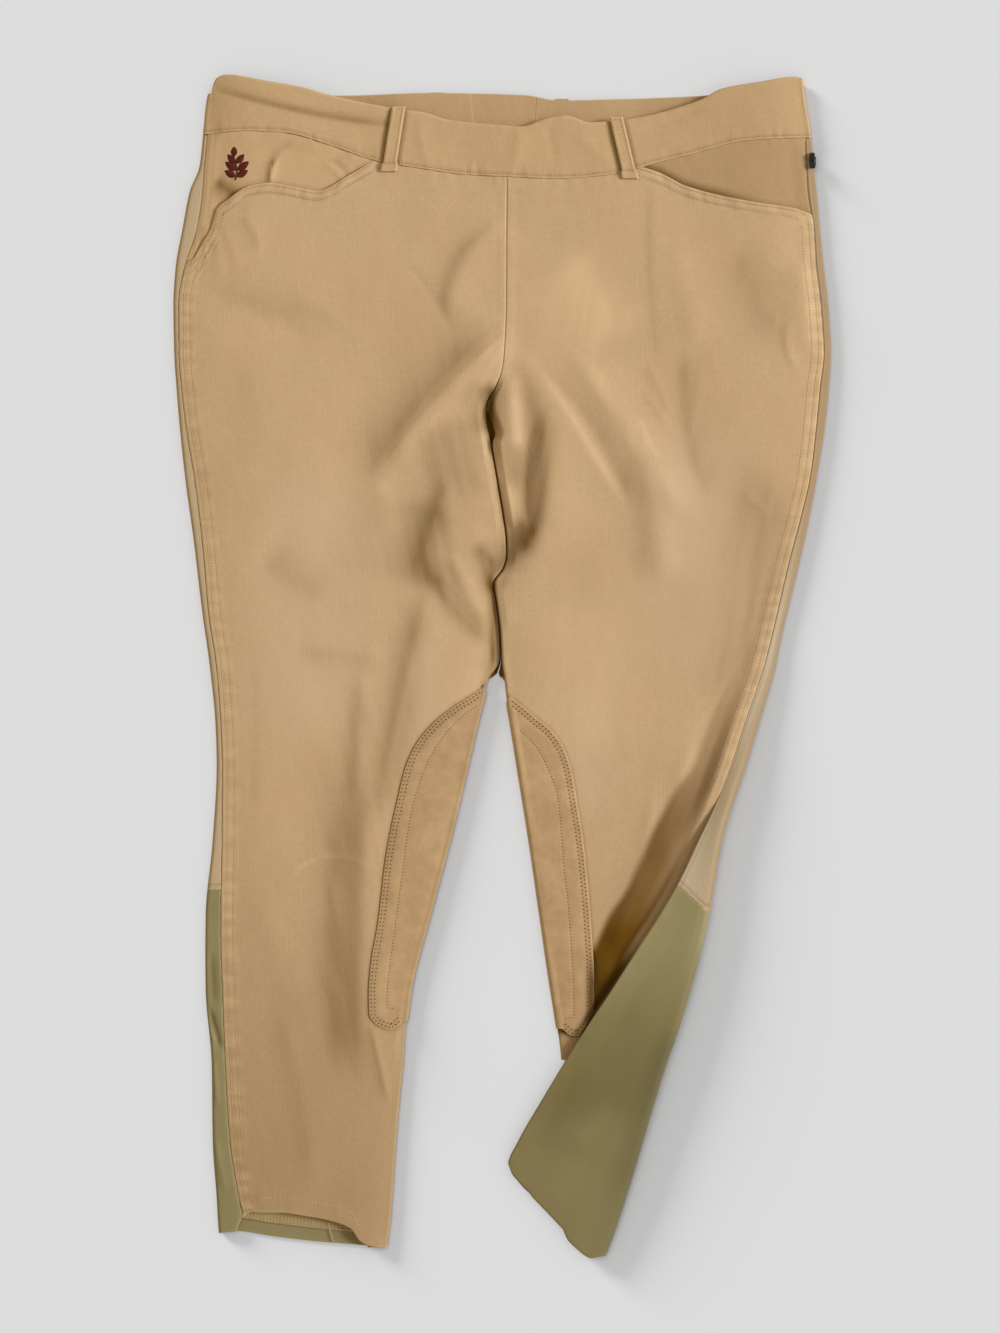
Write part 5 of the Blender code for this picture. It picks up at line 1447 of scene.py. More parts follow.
def make_facing(side):
    """A pocket facing: it hangs from the waistband's seam and dips under the front at the pocket mouth.

    Each row's y depends on its out and the other way round, so both are settled by repeated halving.
    """
    half = halves[side]
    inner_end = half.mouth_start - 5
    share = np.linspace(0, 1, 70) ** 1.15
    down = packed(0, 60, 1.6)[:, None] / 60
    y = 400 + np.zeros((len(down), len(share)))
    for _ in range(25):
        first = half.seam(y) - SEAM / 2
        out = first + (inner_end - first) * share
        high = half.band_seam(out) - SEAM
        y = (y + high + (half.mouth_y(out) - FACING_TUCK - high) * down) / 2
    x = half.sign * out
    below, from_seam, above_mouth = high - y, first - out, y - half.mouth_y(out)
    relief = facing_swell(out, y) + 0.3 * noise(out, below, 4.0, 24, 52) * bell(below, 7)
    relief = relief + rolled(from_seam, 1.2, 0.4)
    # Painted shade under the front's edge at the pocket mouth, and more inside the left mouth by its belt
    # loop; on the right also in the hollows of FACING_SHADES, the pleats' dips and the rows, with painted
    # highlights where FACING_SHADES runs below 0.
    deep = (0.0 if side == "right" else 0.12) + 0.16 * smooth(1 - above_mouth / 5)
    wear = 0.6 * bell(from_seam, 1.2)
    if side == "left":
        deep = deep + 0.10 + 0.42 * smooth(1 - (above_mouth - 1) / 8) * smooth((212 - out) / 40)
    else:
        rows = row_marks(from_seam, FACING_ROWS)
        pleats = 0.5 * noise(out, y, 2.6, 40, 53) * smooth((356 - y) / 10)
        shades = fold_sum(FACING_SHADES, x, y)
        relief = relief + fold_sum(FACING_FOLDS, x, y) + pleats - 0.25 * rows
        wear = wear + 0.25 + 3 * np.maximum(-shades, 0)
        deep = deep + np.maximum(shades, 0) + 0.7 * np.maximum(-pleats, 0) + ROW_SHADE * rows
    drop = 0.15 + (FACING_DROP - 0.15) * smooth(below / 16) * smooth(from_seam / 14)
    drop = drop + 0.8 * smooth((above_mouth - 2) / -8) + 1.2 * smooth((inner_end + 9 - out) / 4)
    z = np.maximum(half.body_height(out, y) - drop + relief, LEAST_HEIGHT)
    sheet(
        f"pocket_facing_{side}", "cloth", "band_twill", wall("cloth"),
        joined(x, y, z), joined(out, y), wear=wear, deep=deep,
    )


BAND_CREASES = [  # in the terms of the folds
    (-232, 462, -90, 432, -4, 3.0, 5.0, 1.5, -1.3),
    (-236, 455, -150, 446, 0, 6, 9, 3, 0.5),
    (112, 430, 158, 446, 2, 4, 6, 2, -0.8),
    (60, 424, 84, 404, 0, 8, 8, 4, 0.6),
    (14, 428, 10, 398, 0, 6, 9, 3, 0.6),
    (36, 432, 42, 404, 0, 7, 7, 3, -0.5),
    (-66, 436, -62, 404, 0, 7, 9, 3, 0.5),
]


def band_height(x, y):
    """Height of the front waistband's outer face: the body's, thicker, with a crease and puckers."""
    z = np.where(x < middle_x(y), *(half.body_height(half.sign * x, y) for half in halves.values()))
    up = y - band_seam_y(x)
    down = band_top_y(x) - y
    relief = rolled(up, 0.9, 0.3) + rolled(down, 2.2, 1.0) + 0.35 * within(up, 3.6, 2)
    relief = relief + 0.40 * noise(x, up, 4.0, 18, 61) * bell(up - 3, 7) - 0.3 * bell(up - BAND_ROW, 0.8)
    relief = relief + 0.40 * noise(x, y, 34, 22, 62) + 0.2 * noise(x, down, 6, 20, 63) * bell(down, 6)
    thick = (wall("band") - WALL) * (0.15 + 0.85 * smooth(up / 8))
    return z + thick + relief + fold_sum(BAND_CREASES, x, y)


def band_side(half, y, turn):
    """The waistband's turned side, down to a rim at mid height. turn is 1 for the front, -1 for the back."""
    half_height = (half.front_at_seam(y) + wall("band") - WALL) / 2
    out, up = np.array(BAND_SIDE).T
    z = half_height + turn * (SEAM / 2 + (half_height - SEAM / 2) * up)
    x = half.edge(y) - EDGE_RADIUS * (1 - out)
    return joined(half.sign * x, y, z)


def band_grid(first_x, last_x, seam_y, top_y, up, share):
    """x, y of a band from its seam up to its top edge. first_x and last_x give its ends' x at each y."""
    up = up[:, None]
    y = seam_y(0.0) + 0 * (up + share)
    for _ in range(20):
        first, last = first_x(y[:, :1]), last_x(y[:, -1:])
        x = first + (last - first) * share
        y = seam_y(x) + (top_y(x) - seam_y(x)) * up
    return x, y


def make_waistband_front():
    """A curved band that turns down half-way round each side, shaded beside its belt loops."""
    right, left = halves["right"], halves["left"]
    up = packed(0, 44, 1.7, 0.5) / 44
    x, y = band_grid(right.band_end_x, left.band_end_x, band_seam_y, band_top_y, up, np.linspace(0, 1, 300))
    top = joined(x, y, band_height(x, y))
    ends = band_side(right, y[:, :1], 1)[:, ::-1], band_side(left, y[:, -1:], 1)
    points = np.concatenate([ends[0], top, ends[1]], 1)
    x, y = points[..., 0], points[..., 1]
    # Painted shade beside the belt loops, darker towards the wearer's left, in the row's furrow and in the
    # upper crease.
    loop_shade = 0.0
    for (top_x, top_y), (low_x, low_y) in BELT_LOOPS_FRONT.values():
        loop_x = low_x + (top_x - low_x) * (y - low_y) / (top_y - low_y)
        beside = np.abs(x - loop_x) - BELT_LOOP_WIDTH / 2
        loop_shade = loop_shade + 0.55 * smooth(1 - beside / 5.0)
    deep = 0.08 * smooth((x - 120) / 40)
    deep = deep + ROW_SHADE * bell(y - band_seam_y(x) - BAND_ROW, 0.8) + loop_shade
    deep = deep + 0.45 * fold_sum(BAND_CREASES[:1], x, y) / BAND_CREASES[0][-1]
    sheet(
        "waistband_front", "cloth", "band_twill", wall("band"),
        points, wear=edge_wear(points, 0.5, 0.5, 0.2, 0.2), deep=deep,
    )


def make_waistband_back():
    """The back waistband in three pieces, lying on the surface and turned half-way up each side."""

    def join(number, shift):
        high, low = BACK_BAND_JOINS[number]
        return curve([(460, high + shift), (410, low + shift)])

    spans = {
        "right": (halves["right"].band_end_x, join(0, -SEAM / 2), 110),
        "centre": (join(0, SEAM / 2), join(1, -SEAM / 2), 36),
        "left": (join(1, SEAM / 2), halves["left"].band_end_x, 110),
    }
    up = packed(0, 42, 2.4, 0.6) / 42
    for name, (first_x, last_x, columns) in spans.items():
        share = packed(0, 200, 200 / columns, 0.5) / 200
        x, y = band_grid(first_x, last_x, back_band_seam_y, back_band_top_y, up, share)
        relief = 0.25 * (noise(x, y, 26, 16, 71) + 1) + 0.1 * (noise(x, y, 6, 9, 72) + 1)
        relief = relief - rolled(back_band_top_y(x) - y, 2.0, 0.7)
        points = joined(x, y, loop_lift(x, y) + relief)
        if name == "right":
            points = np.concatenate([band_side(halves[name], y[:, :1], -1)[:, ::-1], points], 1)[:, ::-1]
        if name == "left":
            points = np.concatenate([points, band_side(halves[name], y[:, -1:], -1)], 1)
        # an even painted shade over the back waistband
        sheet(
            f"waistband_back_{name}", "cloth", "band_twill", wall("band"),
            points, up=False, deep=0.11,
            wear=edge_wear(points, 0.1, 0.5, 0.4, 0.4),
        )


def front_loop_line(side, down):
    """Centre line of a front belt loop, and how far it bows up from the band between its sewn ends."""
    (top_x, top_y), (low_x, low_y) = BELT_LOOPS_FRONT[side]
    x, y = top_x + (low_x - top_x) * down, top_y + (low_y - top_y) * down
    bow = BELT_LOOP_BOW * np.sin(pi * np.clip(down * 1.12 - 0.06, 0, 1)) ** 0.6
    return x, y, bow


def make_belt_loop_front(side):
    """A folded strip sewn down at both ends: raised at both stitched edges and standing off the band."""
    down = packed(0, 52, 1.3, 0.4)[:, None] / 52
    across = np.array([-0.5, -0.48, -0.42, -0.34, -0.26, -0.16, 0, 0.16, 0.26, 0.34, 0.42, 0.48, 0.5])
    centre_x, centre_y, bow = front_loop_line(side, down)
    foot = smooth((down - 0.86) / 0.04)
    x = centre_x + across * (BELT_LOOP_WIDTH + 2.6 * foot)
    y = centre_y + 0 * across
    base = np.maximum(band_height(centre_x, y), band_height(x, y))
    profile = np.array([-1.0, -0.35, 0.12, 0.2, 0.02, -0.05, 0, -0.05, 0.02, 0.2, 0.12, -0.35, -1.0]) * 0.55
    ends = rolled(down * 52, 1.4, 0.6) + rolled((1 - down) * 52, 1.4, 0.6)
    puckers = 0.12 * noise(across * 11, y, 9, 3.4, 81)
    z = base + BELT_LOOP_GAP + wall("loop") + bow + profile + ends + puckers + 0.5 * foot
    points = joined(x, y, z)
    wear = 0.7 * bell(np.abs(across) - 0.46, 0.07) + edge_wear(points, 0.5, 0.5, 0, 0)
    # painted shade at the loop's foot and along its edges; paler rubbed edges
    sheet(
        f"belt_loop_front_{side}", "cloth", "band_twill", wall("loop"),
        points, wear=wear,
        deep=0.35 * bell(down - 0.87, 0.02) + 0.18 * bell(np.abs(across) - 0.5, 0.06),
    )


def make_belt_loop_back(side):
    """A back belt loop, pressed flat under the band."""
    x0, top_y, low_y = BELT_LOOPS_BACK[side]
    down = packed(0, 52, 1.6, 0.4)[:, None] / 52
    across = np.array([-0.5, -0.47, -0.38, -0.3, -0.15, 0, 0.15, 0.3, 0.38, 0.47, 0.5])
    profile = np.array([0.5, 0.18, 0.0, 0.08, 0.12, 0.12, 0.12, 0.08, 0.0, 0.18, 0.5])
    x = x0 + across * BELT_LOOP_WIDTH + 0 * down
    y = top_y + (low_y - top_y) * down + 0 * across
    points = joined(x, y, profile + 0.05 * noise(x, y, 5, 4, 82) + 0.05)
    sheet(
        f"belt_loop_back_{side}", "cloth", "band_twill", wall("loop"), points, up=False,
        wear=0.5 * bell(np.abs(across) - 0.46, 0.07) + 0 * down,
    )


def make_hem_facing():
    """The ribbed facing sewn inside the right back hem."""
    x = np.linspace(*HEM_FACING_X, 90) + np.zeros((14, 1))
    y = back_hem_y(x) + np.linspace(*HEM_FACING_Y, 14)[:, None]
    z = WALL + SEAM + wall("knit") + 0.12 * noise(x, y, 5, 9, 91) + 0.1
    points = joined(x, y, z + rolled(y - y[:1], 1.6, 0.3))
    sheet(
        "hem_facing_right", "knit", "hem_rib_knit", wall("knit"), points,
        wear=edge_wear(points, 0.3, 0.6, 0, 0),
    )


def make_inner_layers():
    """The front of the folded calf, seen in the fold: from the side seam it turns under the flap."""
    half = halves["left"]
    levels = packed(-143, FLAP_HEM_Y + 1.5, 3.0)[:, None]
    y_edge = half.fold_row(levels)
    start = half.seam(levels) + SEAM / 2
    length_x = half.edge(y_edge) - half.fold_radius(y_edge) - start - 1.0
    high = half.seam_height(levels) - WALL - 0.75
    low = np.minimum(half.front_at_seam(levels) + WALL + 0.5, high - 0.5)
    turned = np.linspace(0, 1, 9)
    flat = np.linspace(0, 1, 18)[1:]
    bend = (high - low) / 2
    arc_out = start + 1.2 - 0.9 * np.sin(turned * pi) * smooth((bend - 0.3) / 0.8)
    arc_z = low + bend * (1 + np.cos(turned * pi))
    flat_out = start + 1.2 + (length_x - 1.2) * flat
    share = (flat_out - start) / (length_x + 1.0)
    flat_z = low + 0 * flat + 0.35 * (half.strip_height(share, levels) - half.strip_height(0 * share, levels))
    out = np.concatenate([arc_out, flat_out], 1)
    z = np.concatenate([arc_z, flat_z], 1)
    share = np.clip((out - start) / (length_x + 1.0), 0, 1)
    y = levels + (y_edge - levels) * share - flap_bulge(share, levels)
    points = joined(half.sign * out, y, z)
    # painted shade: the inside of the fold lies in shade
    sheet(
        "left_leg_inner_layers", "cloth", "front_twill", INNER_SKIN, points, deep=0.5,
    )


# ---- sewing


def on_surface(surface, u, v):
    """Points of a surface and its upward normals, from small steps along both parameters."""
    here, step = surface(u, v), 0.35
    du = surface(u + step, v) - surface(u - step, v)
    dv = surface(u, v + step) - surface(u, v - step)
    normal = np.cross(du, dv)
    normal /= np.linalg.norm(normal, axis=-1, keepdims=True)
    return here, normal * np.sign(normal[..., 2:] + 1e-9)


def upright(points):
    """A row of points whose normals all point straight up."""
    return points, np.tile([0.0, 0.0, 1.0], (len(points), 1))


# A stitch is four rings of five corners: each ring's place in half lengths, and its radius and
# height in radii of the thread.
STITCH_RINGS = np.array([-1.0, -0.45, 0.45, 1.0])[:, None]
STITCH_WIDTHS = np.array([0.45, 1.0, 1.0, 0.45])[:, None]
STITCH_LIFTS = np.array([-0.9, 0.55, 0.55, -0.9])[:, None]
STITCH_SIDES = 5


def stitch_row(points, normals, stitch, gap=None):
    """Frames of the stitches along a row: centres, tangents and normals, one for every pitch."""
    pitch = gap or wall("stitch_pitch")
    run = along_grid(points, 0)
    at = (np.arange(max(int(run[-1] / pitch), 1)) + 0.5) * pitch

    def read(values, where):
        return np.stack([np.interp(where, run, values[:, k]) for k in range(3)], -1)

    centre, normal = read(points, at), read(normals, at)
    tangent = read(points, at + stitch / 2) - read(points, at - stitch / 2)
    tangent /= np.linalg.norm(tangent, axis=1, keepdims=True)
    normal -= tangent * (normal * tangent).sum(1, keepdims=True)
    normal /= np.linalg.norm(normal, axis=1, keepdims=True)
    return centre, tangent, normal


def sew(name, rows, finish_name, radius=None, stitch=None, gap=None, slant=0.0):
    """Rows of stitches as one mesh: each is a short thread that dives into the cloth at its ends."""
    radius = radius or wall("thread")
    stitch = stitch or wall("stitch_length")
    frames = [stitch_row(points, normals, stitch, gap) for points, normals in rows]
    centre, tangent, normal = (np.concatenate(part)[:, None, None] for part in zip(*frames))
    side = np.cross(normal, tangent)
    tangent, side = tangent + side * slant, side - tangent * slant
    k = np.arange(STITCH_SIDES)
    angle = k * 2 * pi / STITCH_SIDES + 0.3
    size, lift = STITCH_WIDTHS * radius, STITCH_LIFTS * radius
    ring_along = STITCH_RINGS * stitch / 2 + 0 * angle
    ring_side, ring_up = size * np.cos(angle), size * np.sin(angle) + lift
    vertices = (
        centre + tangent * ring_along[..., None] + side * ring_side[..., None] + normal * ring_up[..., None]
    )
    after = (k + 1) % STITCH_SIDES
    rings = np.arange(len(STITCH_RINGS))[:, None] * STITCH_SIDES
    low, high = rings[:-1], rings[1:]
    tube = joined(low + k, high + k, high + after, low + after).reshape(-1, 4)
    base = np.arange(len(centre))[:, None, None] * len(STITCH_RINGS) * STITCH_SIDES
    quads = (tube[None] + base).reshape(-1, 4).tolist()
    caps = np.stack([k, k[::-1] + rings[-1]])[None] + base
    return new_piece(name, vertices, quads + caps.reshape(-1, STITCH_SIDES).tolist(), finish_name)


FRONT_ROW_SPAN = {"right": (318.0, -440.0), "left": (356.0, -92.0)}  # y of the side rows' ends


def front_rows(side):
    """Twin rows along the side seam and the pocket mouth, and one above the right hem."""
    half = halves[side]
    start, end = FRONT_ROW_SPAN[side]
    rows = []
    for distance in SIDE_ROWS:
        y = np.linspace(start - distance * 0.4, end, 700)
        rows.append((half.seam(y) - distance, y))
    outs = np.linspace(half.mouth_start + 3, half.seam(start) - 3.5, 400)
    mouth = joined(outs, half.mouth_y(outs))
    for distance in MOUTH_ROWS:
        line = inset(mouth, distance)
        rows.append(line[line[:, 0] < half.seam(line[:, 1]) - distance].T)
    if side == "right":
        outs = np.linspace(112.0, half.seam(-430.0) - 4, 300)
        rows.append((outs, half.hem_y(outs) + HEM_ROW))
    return [on_surface(half.front_point, out, y) for out, y in rows]


def facing_surface(half):
    """The pocket facing's outer face, level with the front less the facing's drop."""

    def point(out, y):
        z = half.body_height(out, y) - FACING_DROP
        return joined(half.sign * out, y, z)

    return point


def patch_surface(side):
    """The suede's outer face: the front's, raised by the suede's lift."""

    def point(out, y):
        lift = patch_lift(side, out, y)[0]
        return halves[side].front_point(out, y) + joined(0, 0, lift)

    return point


def patch_rows(side):
    """Twin rows inside the sewn edge, and the single row of the inner outline."""
    half = halves[side]
    outline = patch_outline(side)
    lines = []
    for distance in PATCH_ROWS:
        line = inset(outline, distance)
        lines.append(line[line[:, 0] > half.inner_top(line[:, 1]) + 0.6])
    line = smoothed_path(PATCH_INNER_ROW[side])
    lines.append(line[line[:, 0] > half.inner_top(line[:, 1]) + 0.2])
    if side == "left":
        lines = [line[line[:, 0] < half.seam(line[:, 1]) - 0.5] for line in lines]
    return [on_surface(patch_surface(side), *resampled(line, 0.8).T) for line in lines]


def band_surface(x, y):
    """The front waistband's outer face."""
    return joined(x, y, band_height(x, y))


def band_rows():
    """One row above the waistband's seam."""
    x = np.linspace(-234, 243, 900)
    return [on_surface(band_surface, x, band_seam_y(x) + BAND_ROW)]


def loop_rows(side):
    """A row along each edge of a front belt loop, and bar tacks across its ends."""
    along, tacks, edges = np.linspace(0.02, 0.98, 60), (0.045, 0.955), (-0.34, 0.34)
    spread = np.linspace(-0.42, 0.42, 20)
    rows = []
    for down, shift in [(along, edge) for edge in edges] + [(np.full(20, at), spread) for at in tacks]:
        x, y, bow = front_loop_line(side, down)
        z = band_height(x, y) + BELT_LOOP_GAP + wall("loop") + bow + 0.12
        rows.append(upright(joined(x + shift * BELT_LOOP_WIDTH, y, z)))
    return rows


def seam_rows():
    """A row above the seam across each calf."""
    share = np.linspace(0.08, 1.1, 80)
    rows = []
    for side in SIDES:
        points = halves[side].back_point(share, np.full_like(share, CALF_SEAM_Y[side] + CALF_ROW))
        points[:, 2] += 0.3
        rows.append(upright(points))
    return rows


def facing_rows():
    """Twin rows beside the right facing's side seam."""
    half = halves["right"]
    y = np.linspace(424, 352, 200)
    return [on_surface(facing_surface(half), half.seam(y) - distance, y) for distance in FACING_ROWS]


def hem_rows():
    """Zigzag along the upper edge of the knitted hem facing, and its seam."""
    x = np.linspace(HEM_FACING_X[0] + 2, HEM_FACING_X[1] - 2, 200)
    up = np.linspace(1.0, 20.0, 20)
    seam_x = -141 - 4.8 * (up - 4) / 16 + 4.8
    top = joined(x, back_hem_y(x) + HEM_FACING_Y[0] + 1.4, 2.62)
    return [upright(top), upright(joined(seam_x, back_hem_y(seam_x) + up, 2.62))]


def sew_side(side):
    """The stitching of one side's front, knee patch and front belt loop."""
    sew(f"front_{side}_topstitching", front_rows(side), "cloth_thread")
    *twin, inner = patch_rows(side)
    patch = f"knee_patch_{side}"
    sew(f"{patch}_stitching", twin, "patch_thread", radius=0.5, stitch=1.3, gap=3.1)
    sew(f"{patch}_inner_stitching", [inner], "patch_thread", radius=0.3, stitch=1.4, gap=2.6)
    sew(f"belt_loop_front_{side}_stitching", loop_rows(side), "cloth_thread")


def sew_middle():
    """The rest of the stitching."""
    sew("waistband_topstitching", band_rows(), "cloth_thread")
    sew("pocket_facing_stitching", facing_rows(), "cloth_thread")
    sew("calf_seam_stitching", seam_rows(), "cloth_thread")
    sew("hem_facing_stitching", hem_rows(), "cloth_thread", gap=1.8, slant=0.7)


# ---- sprig, zip

SPRIG_CENTRE = (-212.8, 400.4)
SPRIG_SCALE = 1.1
SPRIG_LEAVES = [  # place on the stem, turn in degrees, length, half width
    (0.12, 150, 9.0, 2.5),
    (0.12, 30, 9.0, 2.5),
    (0.38, 142, 10.0, 2.7),
    (0.38, 38, 10.0, 2.7),
    (0.66, 130, 8.6, 2.4),
    (0.66, 50, 8.6, 2.4),
    (0.94, 90, 7.6, 2.3),
]


def sprig_stem(share):
    """The stem's line: a shallow S that rises 20 mm."""
    return joined(1.2 * np.sin(share * pi * 1.4) - 0.4, -11.0 + 17.5 * share)


def satin_leaf(root, turn, leaf_length, half_width):
    """A leaf of satin stitches: a pointed oval, raised along its middle and ridged across."""
    along, across = np.linspace(0, 1, 22)[:, None], np.linspace(-1, 1, 9)
    width = half_width * np.sin(pi * along**0.8) ** 0.8 + 0.05
    u = along * leaf_length + 0.35 * np.abs(across) * half_width
    v = across * width
    dome = 1 - across**2
    height = 0.5 * dome * np.sin(pi * along) ** 0.5 + 0.1 * np.cos(along * 22 * pi) * dome
    cos_turn, sin_turn = np.cos(radians(turn)), np.sin(radians(turn))
    x = root[0] + u * cos_turn - v * sin_turn
    y = root[1] + u * sin_turn + v * cos_turn
    return joined(x, y, height)


def make_sprig():
    """The embroidered sprig by the right pocket: satin leaves on a corded stem."""
    around = np.linspace(-1, 1, 7)
    stem = sprig_stem(np.linspace(0, 1, 30))
    cord = 0.42 * np.sqrt(1.001 - around**2)
    grids = [joined(stem[:, :1] + around * 0.55, stem[:, 1:], cord)]
    grids += [satin_leaf(sprig_stem(np.array([at]))[0], *leaf) for at, *leaf in SPRIG_LEAVES]
    surface = facing_surface(halves["right"])
    vertices, faces, count = [], [], 0
    for grid in grids:
        x, y = (grid[..., k] * SPRIG_SCALE + SPRIG_CENTRE[k] for k in (0, 1))
        base = surface(-x, y)[..., 2] + facing_swell(-x, y)
        points = joined(x, y, base + 0.12 + grid[..., 2])
        a, b, c = points[:-1, :-1], points[1:, :-1], points[1:, 1:]
        up = np.cross(b - a, c - a)[..., 2].sum() > 0
        vertices.append(points.reshape(-1, 3))
        faces += (np.array(grid_faces(*grid.shape[:2], flip=not up)) + count).tolist()
        count += len(vertices[-1])
    made = new_piece("sprig_embroidery", np.concatenate(vertices), faces, "sprig_thread")
    thicken(made, "Thread thickness", 0.3)


def make_zip():
    """Zip coils beside the pocket, and the slider and pull in black enamel."""
    half = halves["left"]
    enamel = finish_of("black_zip_enamel").material
    for node in ("zip_slider", "zip_pull"):
        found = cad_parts[node]
        found.data.materials.clear()
        found.data.materials.append(enamel)
    y = np.linspace(420, 262, 500)
    points = half.back_point(np.full_like(y, 0.02), y)
    points[:, 0] -= 0.15
    points[:, 2] = half.seam_height(y) - 0.15
    sew("zip_coils", [upright(points)], "zip_coil_nylon", radius=0.42, stitch=1.1, gap=1.25)


# ---- stage

CAMERA_HEIGHT = 2.4
CAMERA_X, CAMERA_Y = -0.0016, -0.0008
SENSOR_WIDTH = 36
FRAME_HEIGHT = 1.0664  # metres seen down the picture at the height of the cloth
CLOTH_HEIGHT = 0.008
FLOOR_HALF_SIZE = 6.0
FLOOR_Z = -0.0003
AMBIENT_SHARE = 0.50
WARM = (1.08, 1.0, 0.80)  # light that has been from cloth to cloth
COOL = (0.92, 1.0, 1.20)  # as far the other way, so that level cloth has its own colour

# Each light's elevation in degrees, turn from +X towards +Y, share of the light on a level surface,
# softness in degrees, colour, and whether it lights the cloth or the floor.
SUNS = {
    "key_light": (30.0, 8.0, 0.50, 20.0, COOL, "lit_cloth"),
    "floor_light": (13.0, 138, 0.26, 18, WARM, "lit_floor"),
    "floor_fill": (75, 138, 0.24, 40, WARM, "lit_floor"),
}


def add_sun(name, elevation, turn, share, softness, tint, lit):
    """A distant soft light. share is how much of full brightness it gives a level surface."""
    data = bpy.data.lights.new(name, "SUN")
    data.energy = share * pi / np.sin(radians(elevation))
    data.angle = radians(softness)
    data.color = tint
    made = bpy.data.objects.new(name, data)
    made.rotation_euler = (0, radians(90 - elevation), radians(turn))
    bpy.context.scene.collection.objects.link(made)
    made.light_linking.receiver_collection = lit


def make_stage():
    """The floor, an even warm light from all round, a sun for the cloth and two for the floor, the camera."""
    scene = bpy.context.scene
    scene.view_settings.view_transform = "Standard"
    far = FLOOR_HALF_SIZE
    corners = [(x, y, FLOOR_Z) for x, y in ((-far, -far), (far, -far), (far, far), (-far, far))]
    mesh = bpy.data.meshes.new("floor")
    mesh.from_pydata(corners, [], [(0, 1, 2, 3)])
    mesh.materials.append(finish_of("pale_floor").material)
    floor = bpy.data.objects.new("floor", mesh)
    scene.collection.objects.link(floor)
    floor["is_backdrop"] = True

    world = bpy.data.worlds.new("soft_studio")
    world.use_nodes = True
    background = world.node_tree.nodes["Background"]
    background.inputs["Color"].default_value = (*WARM, 1)
    background.inputs["Strength"].default_value = AMBIENT_SHARE
    scene.world = world

    lit = {"lit_cloth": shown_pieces(), "lit_floor": [floor]}
    groups = {name: bpy.data.collections.new(name) for name in lit}
    for name, group in groups.items():
        for made in lit[name]:
            group.objects.link(made)
    for name, (*settings, group_name) in SUNS.items():
        add_sun(name, *settings, groups[group_name])

    data = bpy.data.cameras.new("camera")
    data.sensor_width = SENSOR_WIDTH
    data.lens = SENSOR_WIDTH * (CAMERA_HEIGHT - CLOTH_HEIGHT) / FRAME_HEIGHT
    data.clip_end = 100
    camera = bpy.data.objects.new("camera", data)
    camera.location = (CAMERA_X, CAMERA_Y, CAMERA_HEIGHT)
    scene.collection.objects.link(camera)
    scene.camera = camera


# ---- operators


class PieceOperator:
    """What the operators share: the makers of a piece on each side, then the others.

    A piece that can't be made raises its own error.
    """

    bl_options = {"REGISTER", "UNDO"}
    for_each_side, makers = (), ()

    def execute(self, context):
        for make in self.for_each_side:
            for side in SIDES:
                make(side)
        for make in self.makers:
            make()
        return {"FINISHED"}


class BREECHES_OT_backs(PieceOperator, bpy.types.Operator):
    """Add the two backs, wrapped round the outer edges"""

    bl_idname = "breeches.backs"
    bl_label = "Backs"
    for_each_side = (make_back,)


class BREECHES_OT_calves(PieceOperator, bpy.types.Operator):
    """Add the olive calf panels"""

    bl_idname = "breeches.calves"
    bl_label = "Calves"
    for_each_side = (make_calf,)
    makers = (make_inner_layers,)


class BREECHES_OT_fronts(PieceOperator, bpy.types.Operator):
    """Add the two fronts with their folds"""

    bl_idname = "breeches.fronts"
    bl_label = "Fronts"
    for_each_side = (make_front,)


class BREECHES_OT_knee_patches(PieceOperator, bpy.types.Operator):
    """Add the suede knee patches"""

    bl_idname = "breeches.knee_patches"
    bl_label = "Knee Patches"
    for_each_side = (make_patch,)


class BREECHES_OT_pocket_facings(PieceOperator, bpy.types.Operator):
    """Add the facings inside the pocket mouths"""

    bl_idname = "breeches.pocket_facings"
    bl_label = "Pocket Facings"
    for_each_side = (make_facing,)


class BREECHES_OT_waistband(PieceOperator, bpy.types.Operator):
    """Add the front and back waistband"""

    bl_idname = "breeches.waistband"
    bl_label = "Waistband"
    makers = (make_waistband_front, make_waistband_back)


class BREECHES_OT_belt_loops(PieceOperator, bpy.types.Operator):
    """Add the belt loops"""

    bl_idname = "breeches.belt_loops"
    bl_label = "Belt Loops"
    for_each_side = (make_belt_loop_front, make_belt_loop_back)


class BREECHES_OT_hem_facing(PieceOperator, bpy.types.Operator):
    """Add the knitted facing inside the right hem"""

    bl_idname = "breeches.hem_facing"
    bl_label = "Hem Facing"
    makers = (make_hem_facing,)


class BREECHES_OT_topstitching(PieceOperator, bpy.types.Operator):
    """Add the rows of stitching"""

    bl_idname = "breeches.topstitching"
    bl_label = "Topstitching"
    for_each_side = (sew_side,)
    makers = (sew_middle,)


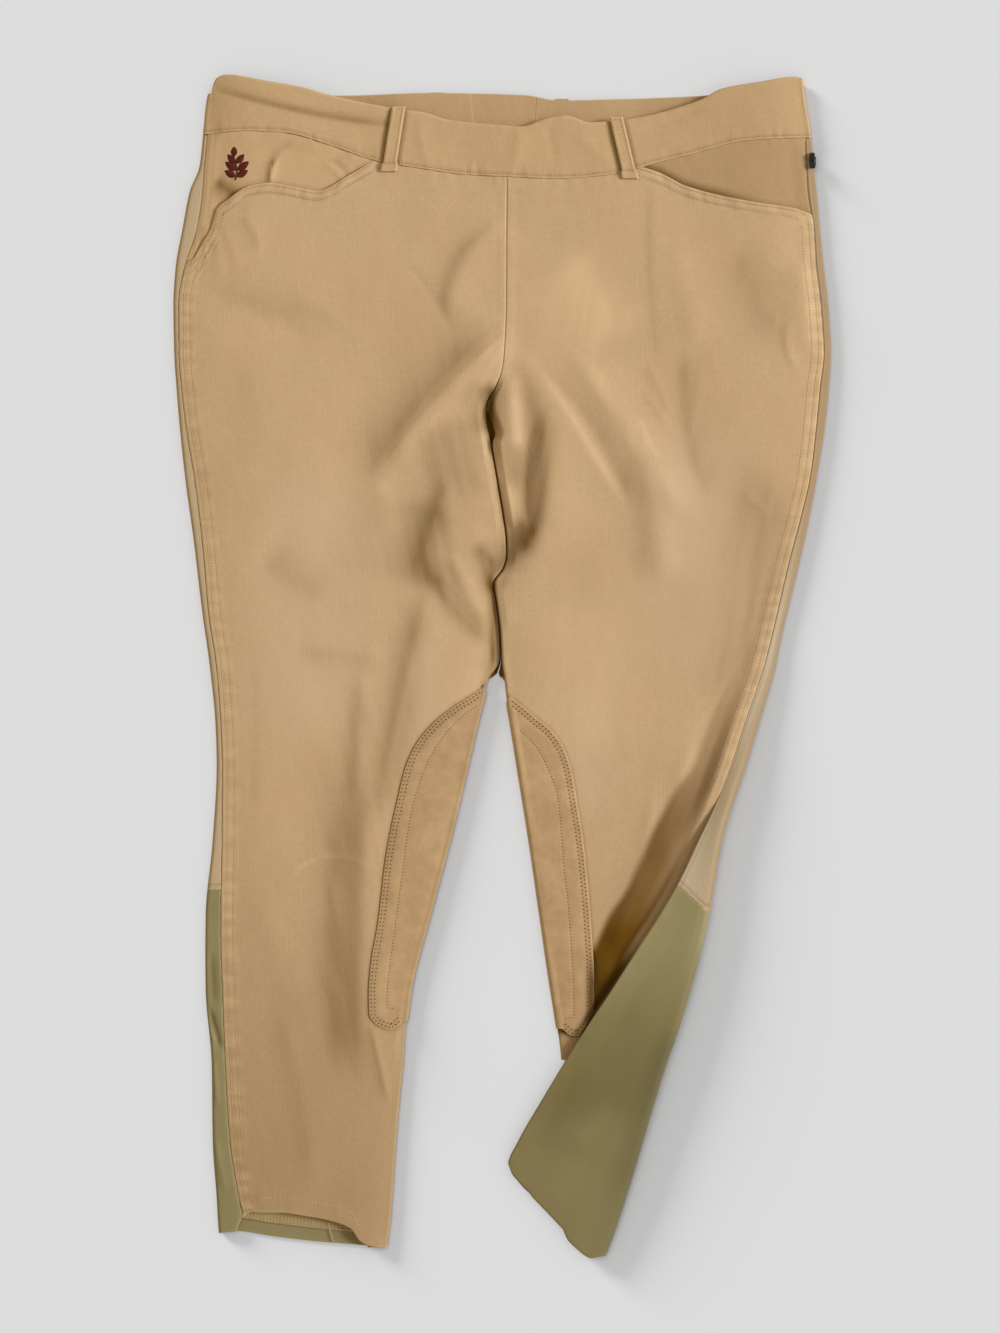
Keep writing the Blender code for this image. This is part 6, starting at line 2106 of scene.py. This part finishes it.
class BREECHES_OT_sprig(PieceOperator, bpy.types.Operator):
    """Add the embroidered sprig"""

    bl_idname = "breeches.sprig"
    bl_label = "Sprig"
    makers = (make_sprig,)


class BREECHES_OT_zip(PieceOperator, bpy.types.Operator):
    """Add the side zip"""

    bl_idname = "breeches.zip"
    bl_label = "Zip"
    makers = (make_zip,)


class BREECHES_OT_stage(PieceOperator, bpy.types.Operator):
    """Add the floor, lights and camera"""

    bl_idname = "breeches.stage"
    bl_label = "Stage"
    makers = (make_stage,)


OPERATORS = (
    BREECHES_OT_backs,
    BREECHES_OT_calves,
    BREECHES_OT_fronts,
    BREECHES_OT_knee_patches,
    BREECHES_OT_pocket_facings,
    BREECHES_OT_waistband,
    BREECHES_OT_belt_loops,
    BREECHES_OT_hem_facing,
    BREECHES_OT_topstitching,
    BREECHES_OT_sprig,
    BREECHES_OT_zip,
    BREECHES_OT_stage,
)


class BREECHES_PT_panel(bpy.types.Panel):
    """Sizes, colours and pieces of the breeches"""

    bl_idname = "BREECHES_PT_panel"
    bl_label = "Riding Breeches"
    bl_space_type = "VIEW_3D"
    bl_region_type = "UI"
    bl_category = "Breeches"

    def draw(self, context):
        column = self.layout.column()
        for group in (context.scene.breeches_sizes, context.scene.breeches_colours):
            for name in group.__annotations__:
                column.prop(group, name)
            column.separator()
        for operator in OPERATORS:
            column.operator(operator.bl_idname)


CLASSES = (BreechesSizes, BreechesColours, *OPERATORS, BREECHES_PT_panel)


def register():
    """Registers the classes and gives the scene its two groups of settings."""
    for kind in CLASSES:
        bpy.utils.register_class(kind)
    bpy.types.Scene.breeches_sizes = bpy.props.PointerProperty(type=BreechesSizes)
    bpy.types.Scene.breeches_colours = bpy.props.PointerProperty(type=BreechesColours)


def unregister():
    """Takes the settings and the classes away again."""
    del bpy.types.Scene.breeches_colours
    del bpy.types.Scene.breeches_sizes
    for kind in reversed(CLASSES):
        bpy.utils.unregister_class(kind)


def main():
    """Makes every piece and the stage."""
    register()
    for operator in OPERATORS:
        getattr(bpy.ops.breeches, operator.bl_idname.split(".")[1])()


if __name__ == "__main__":
    main()
